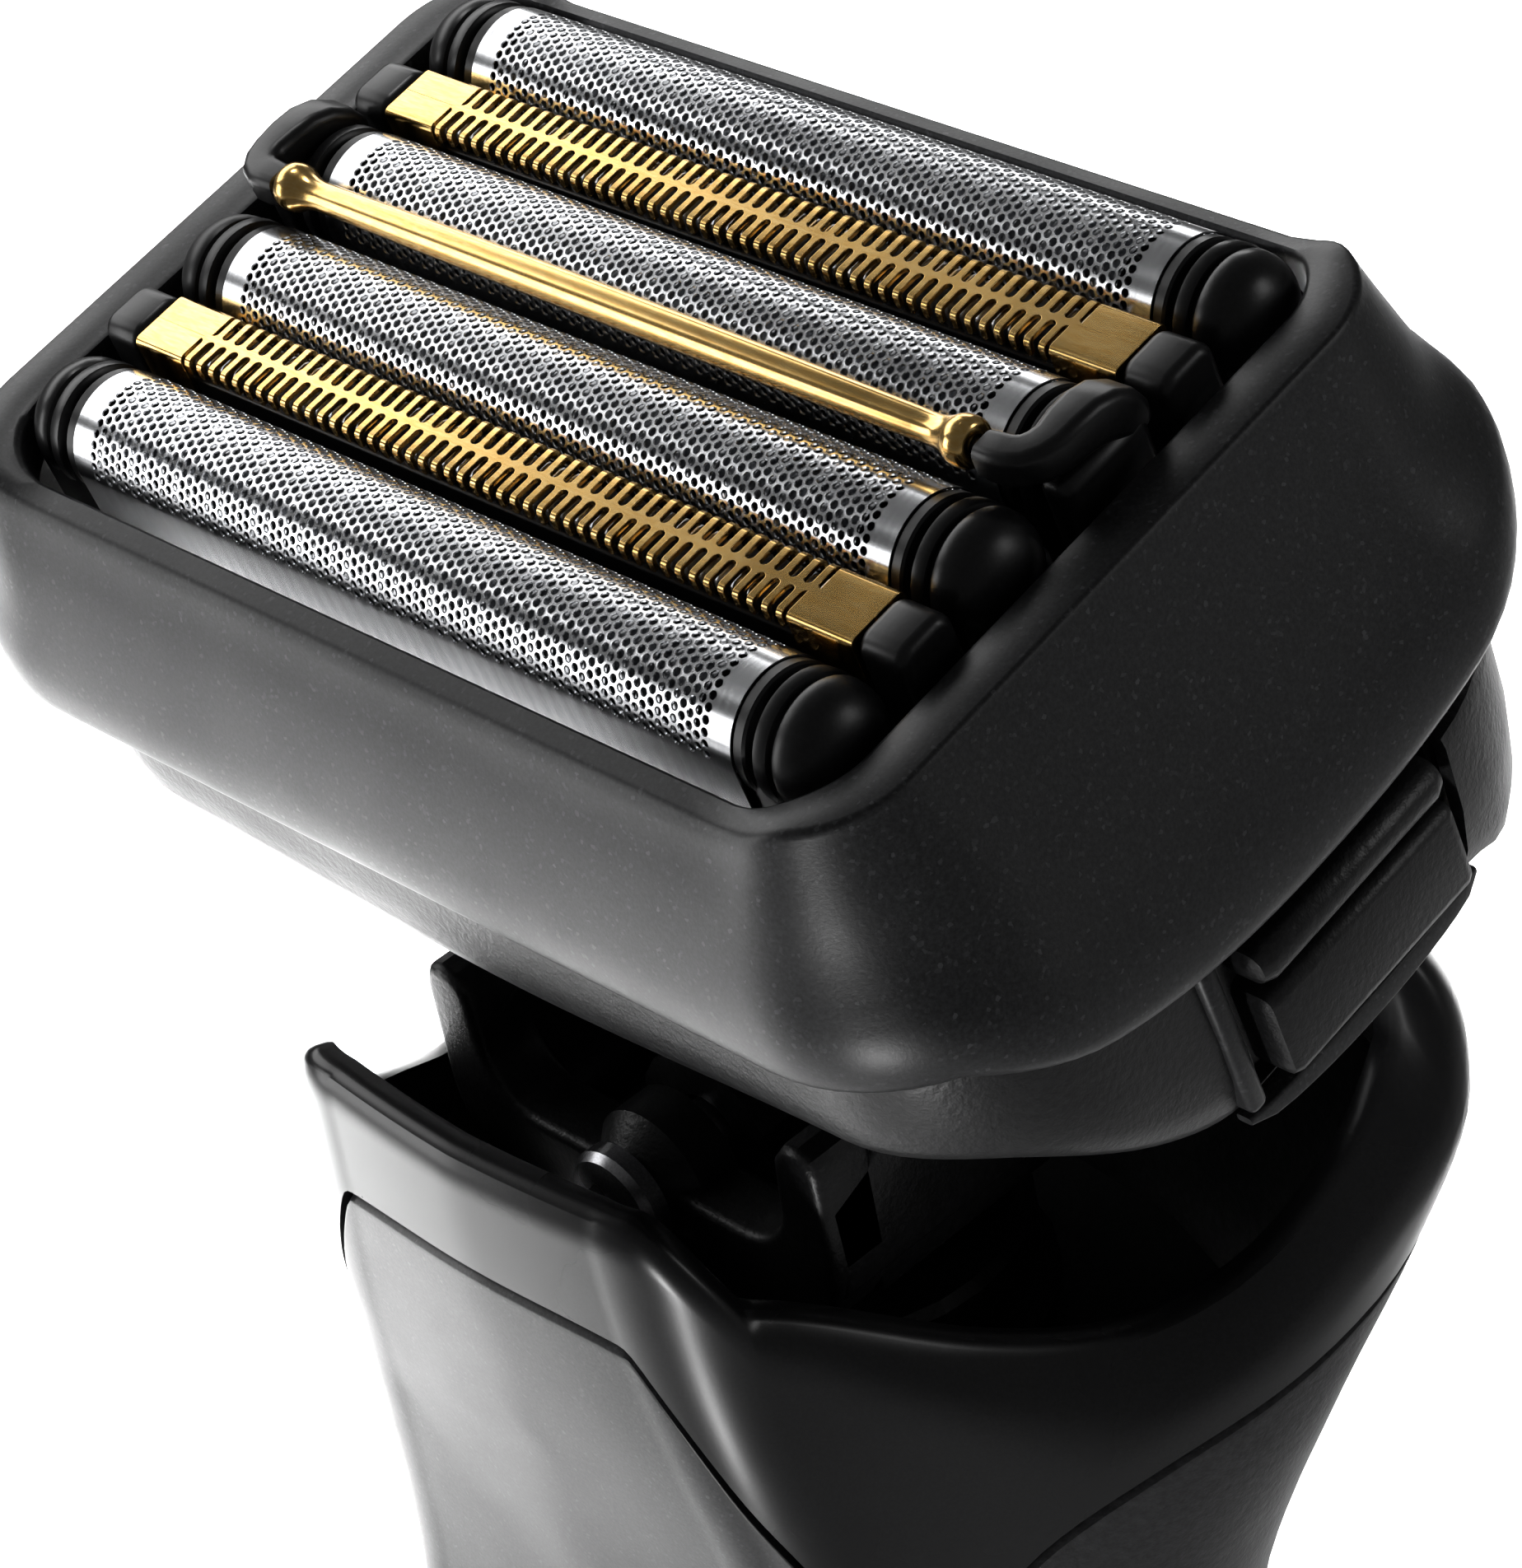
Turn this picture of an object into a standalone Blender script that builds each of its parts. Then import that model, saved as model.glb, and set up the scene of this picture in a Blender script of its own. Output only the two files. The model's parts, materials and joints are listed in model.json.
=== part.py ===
"""A foil shaver: a floating, tilting head with four foils, two slit blades and a comfort roller, on a
hand-held body that holds the battery, the electronics and a pop-up trimmer.

Shapes are written in millimetres and become metres when a mesh is made. +Z is up, the origin is under the
middle of the overall box at the base, X runs along the foils and -Y is the front. Heights on the handle are
counted from the flat tops of the slit blades, so they are negative, as they are in the head's own leaning
frame."""

import math

import bmesh
import bpy
from mathutils import Matrix, Vector

MM = 0.001
GAP = 0.3  # between neighbouring pieces

# Driving dimensions
HEAD_HEIGHT = 165.0  # from the base to the slit blades' tops
HEAD_LEAN = math.radians(13.0)  # the head looks forward by this much
FRAME_Y = -2.72  # of the handle's frame, so that the origin is in the middle of the overall box
TILT_AXIS = Vector((0.0, 4.0, -24.0))  # along X
ROLL_AXIS = Vector((0.0, 1.5, -34.3))  # along Y
NECK_AXIS = Vector((0.0, 1.5, -46.0))  # along Z, for twist and lift
SHELL_WALL = 1.4
SHELL_GAP = 0.55  # at the outer surface, where it narrows towards the inside of the corners
FRAME_WALL = 1.2
BASE_WALL = 1.4

# Cutting elements, in the head's frame: +Z is normal to the shaving plane
FOIL_RADIUS = 2.43
FOIL_HALF_LENGTH = 17.6
FOIL_WALL = 0.35
FOIL_LEG = 3.6  # straight side below the arch
OUTER_FOIL = Vector((0.0, 10.96, -1.90))
INNER_FOIL = Vector((0.0, 2.82, -1.63))
CUTTER_RADIUS = FOIL_RADIUS - FOIL_WALL - GAP
SLIT_Y = 6.88
SLIT_HALF_LENGTH = 19.0
SLIT_HALF_WIDTH = 1.28
SLIT_DEPTH = 3.2
SLIT_WALL = 0.4
ROLLER_Z = 1.17
ROLLER_HALF_LENGTH = 18.0
ROLLER_END_RADIUS = 0.9
ROLLER_WAIST_RADIUS = 0.62
ROLLER_BORE = 0.42
CAP_END = 21.2  # how far the holders' end caps reach along X
DECK_TOP = -13.0
CARRIAGE_TOP = -11.2

# Handle, given as sections: height, front, corner X, widest X, its Y, back
SECTIONS = (
    (-24.0, -16.2, 10.3, 25.0, 11.2, 18.8),
    (-33.0, -16.1, 10.8, 24.9, 11.0, 18.8),
    (-39.0, -15.7, 11.9, 23.3, 8.8, 18.2),
    (-46.0, -14.9, 13.0, 21.1, 4.8, 16.5),
    (-54.0, -14.6, 13.7, 18.3, 2.2, 14.5),
    (-60.0, -15.0, 14.0, 16.8, 1.0, 13.6),
    (-68.0, -15.4, 14.3, 16.7, 0.2, 13.7),
    (-80.0, -15.6, 14.9, 18.4, 0.0, 14.7),
    (-95.0, -15.5, 15.4, 20.0, 0.0, 15.2),
    (-130.0, -15.2, 15.0, 20.0, 0.0, 15.0),
    (-155.0, -13.8, 13.6, 18.2, 0.0, 13.6),
    (-165.0, -13.0, 12.8, 17.2, 0.0, 12.8),
)
CORNER_ROUND = 3.2
TIP = 2.05  # place around the section of the collar's lowest point, where panel and grip meet
PANEL_EDGE, GRIP_EDGE = TIP - 0.01, TIP + 0.01
SHELL_FOOT = -160.0
# Place around the section against height, for the collar's rim and for its lower edge
RIM = ((0.0, -26.8), (1.3, -26.8), (1.6, -27.8), (2.0, -31.5), (2.3, -36.2), (2.55, -38.0), (2.75, -36.8),
       (2.9, -33.0), (3.05, -28.4), (3.2, -26.15), (3.4, -26.9), (4.0, -29.0))
LOWER_EDGE_FRONT = ((0.0, -32.4), (1.05, -32.8), (1.25, -35.0), (1.5, -39.6), (1.75, -44.2), (1.93, -49.6),
                    (TIP, -52.8))
LOWER_EDGE_SIDE = ((TIP, -52.8), (2.2, -48.9), (2.35, -45.8), (2.6, -43.3), (2.9, -41.2), (3.1, -38.8),
                   (3.3, -36.0), (3.5, -35.0), (4.0, -34.5))
FRONT_PLACES = [0.0, 0.5, 1.0, 1.05, 1.2, 1.35, 1.5, 1.65, 1.8, 1.93, PANEL_EDGE]
SIDE_PLACES = [GRIP_EDGE, 2.2, 2.35, 2.5, 2.65, 2.8, 3.0, 3.15, 3.3, 3.45, 3.6, 3.8, 4.0]

# Colour, roughness and metallic value of each material
MATERIALS = {
    "frame_plastic": ((0.035, 0.036, 0.040), 0.42, 0.0),
    "base_plastic": ((0.018, 0.018, 0.020), 0.45, 0.0),
    "cap_plastic": ((0.010, 0.010, 0.011), 0.35, 0.0),
    "foil_steel": ((0.78, 0.79, 0.81), 0.22, 1.0),
    "blade_gold": ((0.95, 0.62, 0.22), 0.24, 1.0),
    "cutter_steel": ((0.62, 0.63, 0.65), 0.30, 1.0),
    "collar_gloss": ((0.012, 0.012, 0.013), 0.22, 0.0),
    "panel_matte": ((0.060, 0.060, 0.065), 0.48, 0.0),
    "grip_rubber": ((0.022, 0.022, 0.024), 0.65, 0.0),
    "inner_plastic": ((0.13, 0.13, 0.14), 0.55, 0.0),
    "bright_metal": ((0.70, 0.70, 0.72), 0.30, 1.0),
    "coil_copper": ((0.72, 0.34, 0.16), 0.35, 1.0),
    "circuit_green": ((0.03, 0.20, 0.09), 0.45, 0.0),
    "battery_wrap": ((0.05, 0.16, 0.36), 0.40, 0.0),
    "seal_rubber": ((0.015, 0.015, 0.015), 0.75, 0.0),
    "smoked_lens": ((0.010, 0.010, 0.014), 0.08, 0.0),
    "ring_metal": ((0.42, 0.42, 0.44), 0.28, 1.0),
}


# Scene, frames and materials

def clear_scene():
    for thing in list(bpy.data.objects):
        bpy.data.objects.remove(thing, do_unlink=True)


def new_collection(name):
    made = bpy.data.collections.new(name)
    bpy.context.scene.collection.children.link(made)
    return made


def new_axis(name, frame, point, parent=None):
    """An empty on a joint's axis. Its name is kept with its place, so that children can hang from it."""
    axis = bpy.data.objects.new(name, None)
    axis.empty_display_size = 4 * MM
    SHAVER.objects.link(axis)
    place = frame @ Matrix.Translation(Vector(point) * MM)
    hang(axis, place, parent)
    return axis


def hang(thing, place, parent):
    PLACES[thing.name] = place
    if parent:
        thing.parent = parent
        thing.matrix_parent_inverse = PLACES[parent.name].inverted()
    thing.matrix_basis = place


def material(name):
    made = bpy.data.materials.get(name)
    if made:
        return made
    colour, roughness, metallic = MATERIALS[name]
    made = bpy.data.materials.new(name)
    made.use_nodes = True
    shader = made.node_tree.nodes["Principled BSDF"]
    shader.inputs["Base Color"].default_value = (*colour, 1.0)
    shader.inputs["Roughness"].default_value = roughness
    shader.inputs["Metallic"].default_value = metallic
    made.diffuse_color = (*colour, 1.0)
    return made


def to_object(name, shape, frame, origin, collection):
    bmesh.ops.translate(shape, verts=shape.verts, vec=-Vector(origin))
    bmesh.ops.scale(shape, verts=shape.verts, vec=(MM, MM, MM))
    mesh = bpy.data.meshes.new(name)
    shape.to_mesh(mesh)
    shape.free()
    made = bpy.data.objects.new(name, mesh)
    collection.objects.link(made)
    return made


def put(name, shape, finish, frame, parent=None, origin=(0.0, 0.0, 0.0), smooth=30):
    """Makes a named piece from a shape in its frame's millimetres, with its origin on the joint's axis."""
    made = to_object(name, shape, frame, origin, SHAVER)
    hang(made, frame @ Matrix.Translation(Vector(origin) * MM), parent)
    made.data.materials.append(material(finish))
    made.data.shade_smooth()
    made.data.set_sharp_from_angle(angle=math.radians(smooth))
    return made


def combine(piece, shape, operation, frame):
    """Adds a Boolean whose helper object is hidden and hangs where the piece does."""
    label = f"{piece.name}_{operation.lower()}_{len(piece.modifiers)}"
    helper = to_object(label, shape, frame, (0, 0, 0), HELPERS)
    hang(helper, frame, None)
    helper.hide_render = True
    helper.display_type = "WIRE"
    change = piece.modifiers.new(label, "BOOLEAN")
    change.operation = operation
    change.solver = "EXACT"
    change.object = helper


def cut(piece, shape, frame):
    combine(piece, shape, "DIFFERENCE", frame)


def join(piece, shape, frame):
    combine(piece, shape, "UNION", frame)


def thicken(piece, wall):
    """Gives an open surface a wall on its inner side."""
    wall_maker = piece.modifiers.new("wall", "SOLIDIFY")
    wall_maker.thickness = wall * MM
    wall_maker.offset = -1.0
    wall_maker.use_even_offset = True


# Shapes, in millimetres

def box(low, high, bevel=0.0, segments=2):
    low, high = Vector(low), Vector(high)
    shape = bmesh.new()
    place = Matrix.Translation((low + high) / 2) @ Matrix.Diagonal((*(high - low), 1.0))
    bmesh.ops.create_cube(shape, size=1.0, matrix=place)
    if bevel:
        bmesh.ops.bevel(shape, geom=shape.edges[:], offset=bevel, segments=segments, profile=0.5,
                        affect="EDGES")
    return shape


def along(axis):
    """The turn that takes +Z to an axis."""
    turns = {"X": Matrix.Rotation(math.pi / 2, 4, "Y"), "Y": Matrix.Rotation(-math.pi / 2, 4, "X"),
             "Z": Matrix.Identity(4)}
    return turns[axis]


def rod(radius, start, end, centre, axis, sides=20, bevel=0.0):
    """A cylinder from start to end along an axis, through centre across it."""
    shape = bmesh.new()
    middle = Vector(centre)
    middle["XYZ".index(axis)] = (start + end) / 2
    bmesh.ops.create_cone(shape, cap_ends=True, segments=sides, radius1=radius, radius2=radius,
                          depth=end - start, matrix=Matrix.Translation(middle) @ along(axis))
    if bevel:
        rims = [edge for edge in shape.edges if any(len(face.verts) > 4 for face in edge.link_faces)]
        bmesh.ops.bevel(shape, geom=rims, offset=bevel, segments=2, profile=0.5, affect="EDGES")
    return shape


def turned(profile, centre, axis, sides=24, closed=False):
    """Turns a profile of (radius, distance along the axis) points round the axis."""
    shape = bmesh.new()
    points = [shape.verts.new((radius, 0.0, distance)) for radius, distance in profile]
    edges = [shape.edges.new(pair) for pair in zip(points, points[1:])]
    if closed:
        edges.append(shape.edges.new((points[-1], points[0])))
    bmesh.ops.spin(shape, geom=points + edges, cent=(0, 0, 0), axis=(0, 0, 1), dvec=(0, 0, 0),
                   angle=2 * math.pi, steps=sides, use_merge=True)
    bmesh.ops.remove_doubles(shape, verts=shape.verts, dist=1e-3)
    bmesh.ops.recalc_face_normals(shape, faces=shape.faces)
    bmesh.ops.transform(shape, matrix=Matrix.Translation(centre) @ along(axis), verts=shape.verts)
    return shape


def prism(outline, start, end, axis):
    """Extrudes a flat outline along an axis. The outline's two numbers are the other two coordinates."""
    lift = {"X": lambda a, b, c: (c, a, b), "Y": lambda a, b, c: (a, c, b), "Z": lambda a, b, c: (a, b, c)}
    shape = bmesh.new()
    face = shape.faces.new([shape.verts.new(lift[axis](a, b, start)) for a, b in outline])
    grown = bmesh.ops.extrude_face_region(shape, geom=[face])
    moved = [item for item in grown["geom"] if isinstance(item, bmesh.types.BMVert)]
    bmesh.ops.translate(shape, verts=moved, vec=lift[axis](0.0, 0.0, end - start))
    bmesh.ops.recalc_face_normals(shape, faces=shape.faces)
    return shape


def skin(rows, wrap):
    """A surface through rows of points. Rows run down the outside, and points run anticlockwise from above."""
    shape = bmesh.new()
    grid = [[shape.verts.new(point) for point in row] for row in rows]
    count = len(grid[0])
    for upper, lower in zip(grid, grid[1:]):
        for i in range(count if wrap else count - 1):
            j = (i + 1) % count
            shape.faces.new((upper[i], lower[i], lower[j], upper[j]))
    return shape


def arc(centre, radius, first, last, steps):
    """Points on an arc, with its angles in degrees."""
    turns = [math.radians(first + (last - first) * step / steps) for step in range(steps + 1)]
    return [(centre[0] + radius * math.cos(turn), centre[1] + radius * math.sin(turn)) for turn in turns]


def rounded_outline(half_x, front, back, radius, rear_radius=None, steps=5, edge_steps=2):
    """A rounded rectangle, anticlockwise, with the same number of points whatever its size."""
    rear = rear_radius or radius
    corners = ((half_x - radius, front + radius, radius, -90), (half_x - rear, back - rear, rear, 0),
               (rear - half_x, back - rear, rear, 90), (radius - half_x, front + radius, radius, 180))
    arcs = [arc((x, y), size, start, start + 90, steps) for x, y, size, start in corners]
    outline = []
    for this, following in zip(arcs, arcs[1:] + arcs[:1]):
        outline += this
        for step in range(1, edge_steps + 1):
            share = step / (edge_steps + 1)
            outline.append(tuple(a + (b - a) * share for a, b in zip(this[-1], following[0])))
    return outline


def ease(value, low, high):
    share = min(max((value - low) / (high - low), 0.0), 1.0)
    return share * share * (3 - 2 * share)


def through(table, place):
    """Reads a smooth curve through a table's points, each (place, value, ...)."""
    keys = [row[0] for row in table]
    rising = keys[-1] > keys[0]
    index = 0
    while index < len(keys) - 2 and (place > keys[index + 1] if rising else place < keys[index + 1]):
        index += 1
    before, start, end, after = (table[min(max(index + step, 0), len(table) - 1)] for step in (-1, 0, 1, 2))
    span = end[0] - start[0]
    share = min(max((place - start[0]) / span, 0.0), 1.0)
    values = []
    for column in range(1, len(start)):
        slope_in = (end[column] - before[column]) / (end[0] - before[0]) * span
        slope_out = (after[column] - start[column]) / (after[0] - start[0]) * span
        rise = end[column] - start[column]
        slope_in, slope_out = (0.0 if slope * rise <= 0 else math.copysign(min(abs(slope), 3 * abs(rise)), rise)
                               for slope in (slope_in, slope_out))
        square, cube = share * share, share ** 3
        values.append(start[column] * (2 * cube - 3 * square + 1) + slope_in * (cube - 2 * square + share)
                      + end[column] * (3 * square - 2 * cube) + slope_out * (cube - square))
    return values


# Handle

def bezier(points, share):
    """A point on a quadratic or cubic curve, by repeated mixing."""
    points = [Vector(point) for point in points]
    while len(points) > 1:
        points = [a.lerp(b, share) for a, b in zip(points, points[1:])]
    return points[0]


def section_point(place, height):
    """A point of the handle's outline at a height. Place runs from 0 at the front's middle, over the corner
    (1 to 2) and the widest point (3), to 4 at the back's middle; a negative place is on the left."""
    front, corner_x, widest_x, widest_y, back = through(SECTIONS, height)
    side = math.copysign(1.0, place)
    place = abs(place)
    corner = Vector((corner_x, front + 0.5))
    widest = Vector((widest_x, widest_y))
    lead = (widest - corner).normalized()
    if place <= 1:
        start, end = Vector((0.0, front)), corner - Vector((CORNER_ROUND, 0.0))
        point = bezier((start, Vector(((start.x + end.x) / 2, front + 0.1)), end), place)
    elif place <= 2:
        point = bezier((corner - Vector((CORNER_ROUND, 0.0)), corner, corner + lead * CORNER_ROUND), place - 1)
    elif place <= 3:
        start = corner + lead * CORNER_ROUND
        reach = (widest - start).length / 3
        point = bezier((start, start + lead * reach, widest - Vector((0.0, reach)), widest), place - 2)
    else:
        rise = back - widest_y
        point = bezier((widest, widest + Vector((0.0, rise * 0.62)), Vector((widest_x * 0.62, back)),
                        Vector((0.0, back))), place - 3)
    return Vector((point.x * side, point.y, height))


def inward(place, height):
    """The outline's inward direction at a place."""
    step = 0.02
    low, high = section_point(place - step, height), section_point(place + step, height)
    run = (high - low).normalized()
    return Vector((-run.y, run.x, 0.0))


def rim_height(place):
    return through(RIM, abs(place))[0]


def lower_edge(place):
    table = LOWER_EDGE_FRONT if abs(place) < TIP else LOWER_EDGE_SIDE
    return through(table, abs(place))[0]


def shell_top(place):
    """Where the panel and the grip start, a gap under the collar's edge whatever that edge's slope is."""
    step = 0.004 if abs(abs(place) - TIP) < 0.02 else 0.03
    low, high = abs(place) - step, abs(place) + step
    low, high = (max(low, TIP), high) if abs(place) > TIP else (low, min(high, TIP - 1e-6))
    run = (section_point(high, -45.0) - section_point(low, -45.0)).length
    rise = abs(lower_edge(high) - lower_edge(low))
    return lower_edge(place) - SHELL_GAP * math.hypot(run, rise) / run


def shoulder_point(place, height):
    """A point of the collar, which rounds over towards its rim, broadly at the sides and tightly in front."""
    broad = ease(abs(place), 1.8, 2.8) * (1 - 0.5 * ease(abs(place), 3.0, 3.5))
    depth = max(rim_height(place) - height, 0.0)
    reach = min(1.5 + 4.5 * broad, 0.8 * (rim_height(place) - lower_edge(place)))
    inset = (0.5 + 1.9 * broad) * (1 - min(depth / reach, 1.0)) ** 2
    return section_point(place, height) + inward(place, height) * inset


def right_then_left(places):
    """Places from the front's middle round the right, the back and the left, anticlockwise from above."""
    return places + [-place for place in reversed(places[1:-1])]


def handle_shells():
    fractions = (0.0, 0.07, 0.18, 0.35, 0.6, 0.85, 1.0)
    places = right_then_left(FRONT_PLACES + SIDE_PLACES)
    rows = [[shoulder_point(p, rim_height(p) + (lower_edge(p) - rim_height(p)) * f) for p in places]
            for f in fractions]
    collar = put("collar", skin(rows, True), "collar_gloss", HANDLE)
    thicken(collar, SHELL_WALL)

    shells = []
    grip_places = SIDE_PLACES + [-place for place in reversed(SIDE_PLACES[:-1])]
    panel_places = [-place for place in reversed(FRONT_PLACES[1:])] + FRONT_PLACES
    for name, finish, places in (("front_panel", "panel_matte", panel_places),
                                 ("rear_grip", "grip_rubber", grip_places)):
        rows = []
        for step in range(11):
            share = (step / 10) ** 1.5
            rows.append([section_point(p, shell_top(p) + (SHELL_FOOT - shell_top(p)) * share) for p in places])
        shells.append(put(name, skin(rows, False), finish, HANDLE))
        thicken(shells[-1], SHELL_WALL)
    return collar, *shells


def inner_outline(height, inset, places=None):
    places = places or right_then_left([0.0, 1.0, 1.5, 2.0, 2.25, 2.5, 2.75, 3.0, 3.25, 3.5, 3.75, 4.0])
    return [(section_point(p, height) + inward(p, height) * inset).to_2d() for p in places]


def bottom_cap():
    places = right_then_left([0.0, 0.6, 1.0, 1.35, 1.7, 2.0] + [2 + s / 4 for s in range(1, 5)]
                             + [3 + s / 4 for s in range(1, 5)])
    rows = []
    for height, inset in ((SHELL_FOOT - GAP, 0.0), (-162.6, 0.1), (-164.3, 0.7), (-165.0, 1.8)):
        rows.append([section_point(p, height) + inward(p, height) * inset for p in places])
    shape = skin(rows, True)
    bmesh.ops.holes_fill(shape, edges=[edge for edge in shape.edges if edge.is_boundary])
    bmesh.ops.recalc_face_normals(shape, faces=shape.faces)
    cap = put("bottom_cap", shape, "base_plastic", HANDLE)
    cut(cap, box((-5.3, 3.7, -166), (5.3, 9.3, -159)), HANDLE)
    put("charge_socket", box((-5.0, 4.0, -164.2), (5.0, 9.0, -157.0), 0.4), "inner_plastic", HANDLE)
    socket = bpy.data.objects["charge_socket"]
    cut(socket, box((-3.8, 5.0, -165), (3.8, 8.0, -161.0)), HANDLE)
    for x in (-1.8, 1.8):
        join(socket, rod(0.6, -163.6, -160.0, (x, 6.5, 0), "Z", 12), HANDLE)


def handle_deck():
    """The floor of the bowl under the head, with a hole for the neck and a screw on each side."""
    deck = put("neck_deck", prism(inner_outline(-48.0, 2.9), -48.2, -46.4, "Z"), "base_plastic", HANDLE)
    cut(deck, rod(5.9, -50, -44, (0, NECK_AXIS.y, 0), "Z"), HANDLE)
    for side, x in (("left", -12.6), ("right", 12.6)):
        cut(deck, rod(1.5, -50, -44, (x, 1.5, 0), "Z", 12), HANDLE)
        profile = [(0, -46.1), (0.45, -46.1), (0.45, -45.5), (2.2, -45.5), (2.2, -46.1), (1.1, -46.1),
                   (1.1, -54.0), (0, -54.5)]
        put(f"deck_screw_{side}", turned(profile, (x, 1.5, 0), "Z", 16), "bright_metal", HANDLE)
    boot = [(6.1, -46.1), (8.6, -46.1), (8.4, -45.8), (6.6, -45.7)]
    put("neck_seal", turned(boot, (0, NECK_AXIS.y, 0), "Z", 24, closed=True), "seal_rubber", HANDLE)


def handle_inside():
    chassis = put("chassis", box((-11.5, -9.0, -152.0), (11.5, -7.5, -75.5)), "inner_plastic", HANDLE)
    join(chassis, box((-11.5, -8.8, -77.5), (11.5, 8.0, -75.7)), HANDLE)
    join(chassis, box((-11.5, -8.8, -151.8), (11.5, 8.0, -150.0)), HANDLE)
    battery = put("battery", rod(7.1, -146.0, -96.0, (0, 1.0, 0), "Z", 28, 0.6), "battery_wrap", HANDLE)
    join(battery, rod(2.5, -97.0, -94.6, (0, 1.0, 0), "Z", 16), HANDLE)
    board = put("circuit_board", box((-10.5, -11.6, -147.0), (10.5, -10.4, -82.0)), "circuit_green", HANDLE)
    join(board, box((-7.0, -10.6, -142.0), (7.0, -9.4, -132.0)), HANDLE)
    join(board, box((-3.0, -13.0, -95.0), (3.0, -11.4, -89.0)), HANDLE)


BUTTON_HEIGHT = -92.0
BUTTON_RADIUS = 5.2
LENS_LOW, LENS_HIGH = (-4.6, -15.6, -128.0), (4.6, -13.6, -110.0)


def handle_controls(panel):
    """Power button, its ring and the display lens, each in an opening of the front panel."""
    centre = (0.0, 0.0, BUTTON_HEIGHT)
    cut(panel, rod(BUTTON_RADIUS + 1.6, -20.0, -11.0, centre, "Y", 32), HANDLE)
    ring = [(BUTTON_RADIUS + GAP, -16.2), (BUTTON_RADIUS + 1.3, -16.2), (BUTTON_RADIUS + 1.3, -13.9),
            (BUTTON_RADIUS + GAP, -13.9)]
    put("button_ring", turned(ring, centre, "Y", 32, closed=True), "ring_metal", HANDLE)
    axis = new_axis("power_button_axis", HANDLE, (0, -15.5, BUTTON_HEIGHT))
    dish = [(0, -16.3), (3.4, -16.5), (4.7, -16.6), (BUTTON_RADIUS, -16.2), (BUTTON_RADIUS, -14.2), (0, -14.2)]
    put("power_button", turned(dish, centre, "Y", 32), "panel_matte", HANDLE, axis, (0, -15.5, BUTTON_HEIGHT))
    low, high = Vector(LENS_LOW) - Vector((GAP, 4.0, GAP)), Vector(LENS_HIGH) + Vector((GAP, 4.0, GAP))
    cut(panel, box(low, high), HANDLE)
    put("display_lens", box(LENS_LOW, LENS_HIGH, 0.5), "smoked_lens", HANDLE)


TRIMMER_LOW, TRIMMER_HIGH = (-10.5, 12.0, -110.0), (10.5, 17.2, -73.0)


def comb_outline(half_width, foot, root, tip, teeth):
    """A comb's outline in XZ: a bar with pointed teeth along its upper edge."""
    outline = [(-half_width, foot), (half_width, foot), (half_width, root)]
    pitch = 2 * half_width / teeth
    for tooth in range(teeth):
        right = half_width - tooth * pitch
        outline += [(right - 0.30 * pitch, tip), (right - 0.55 * pitch, tip), (right - pitch * 0.85, root)]
        if tooth < teeth - 1:
            outline.append((right - pitch, root))
    return outline + [(-half_width, root)]


def trimmer(grip):
    """The pop-up trimmer on the back: a slider in an opening of the grip, with a comb and a moving blade."""
    cut(grip, box((-10.9, 8.5, -110.4), (10.9, 20.0, -59.0)), HANDLE)
    put("trimmer_guide", box((-10.6, 8.3, -113.0), (10.6, 9.5, -58.5), 0.3, 1), "inner_plastic", HANDLE)
    rest = (0.0, 15.0, TRIMMER_HIGH[2])
    axis = new_axis("trimmer_axis", HANDLE, rest)
    slider = put("trimmer_slider", box(TRIMMER_LOW, TRIMMER_HIGH, 0.9), "base_plastic", HANDLE, axis, rest)
    for step in range(4):
        groove = -104.0 + 2.4 * step
        cut(slider, box((-6.0, 16.6, groove), (6.0, 18.0, groove + 1.2)), HANDLE)
    put("trimmer_comb", prism(comb_outline(9.6, -72.6, -71.0, -69.0, 12), 14.4, 15.0, "Y"), "cutter_steel",
        HANDLE, axis, rest)
    blade_axis = new_axis("trimmer_blade_axis", HANDLE, rest, axis)
    put("trimmer_blade", prism(comb_outline(8.6, -72.6, -71.2, -69.4, 11), 13.5, 14.1, "Y"), "bright_metal",
        HANDLE, blade_axis, rest)


# Neck

def spring_coil(name, radius, wire, low, high, turns, centre):
    """A compression spring as a wire on a POLY spline."""
    per_turn = 10
    curve = bpy.data.curves.new(name + "_path", "CURVE")
    curve.dimensions = "3D"
    curve.bevel_depth = wire * MM
    curve.bevel_resolution = 1
    curve.use_fill_caps = True
    spline = curve.splines.new("POLY")
    count = turns * per_turn + 1
    spline.points.add(count - 1)
    for i, point in enumerate(spline.points):
        turn = 2 * math.pi * i / per_turn
        height = low + wire + (high - low - 2 * wire) * i / (count - 1)
        point.co = (radius * math.cos(turn) * MM, radius * math.sin(turn) * MM, height * MM, 1.0)
    made = bpy.data.objects.new(name, curve)
    SHAVER.objects.link(made)
    hang(made, HANDLE @ Matrix.Translation(Vector((centre[0], centre[1], 0)) * MM), None)
    curve.materials.append(material("bright_metal"))
    return made


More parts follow.
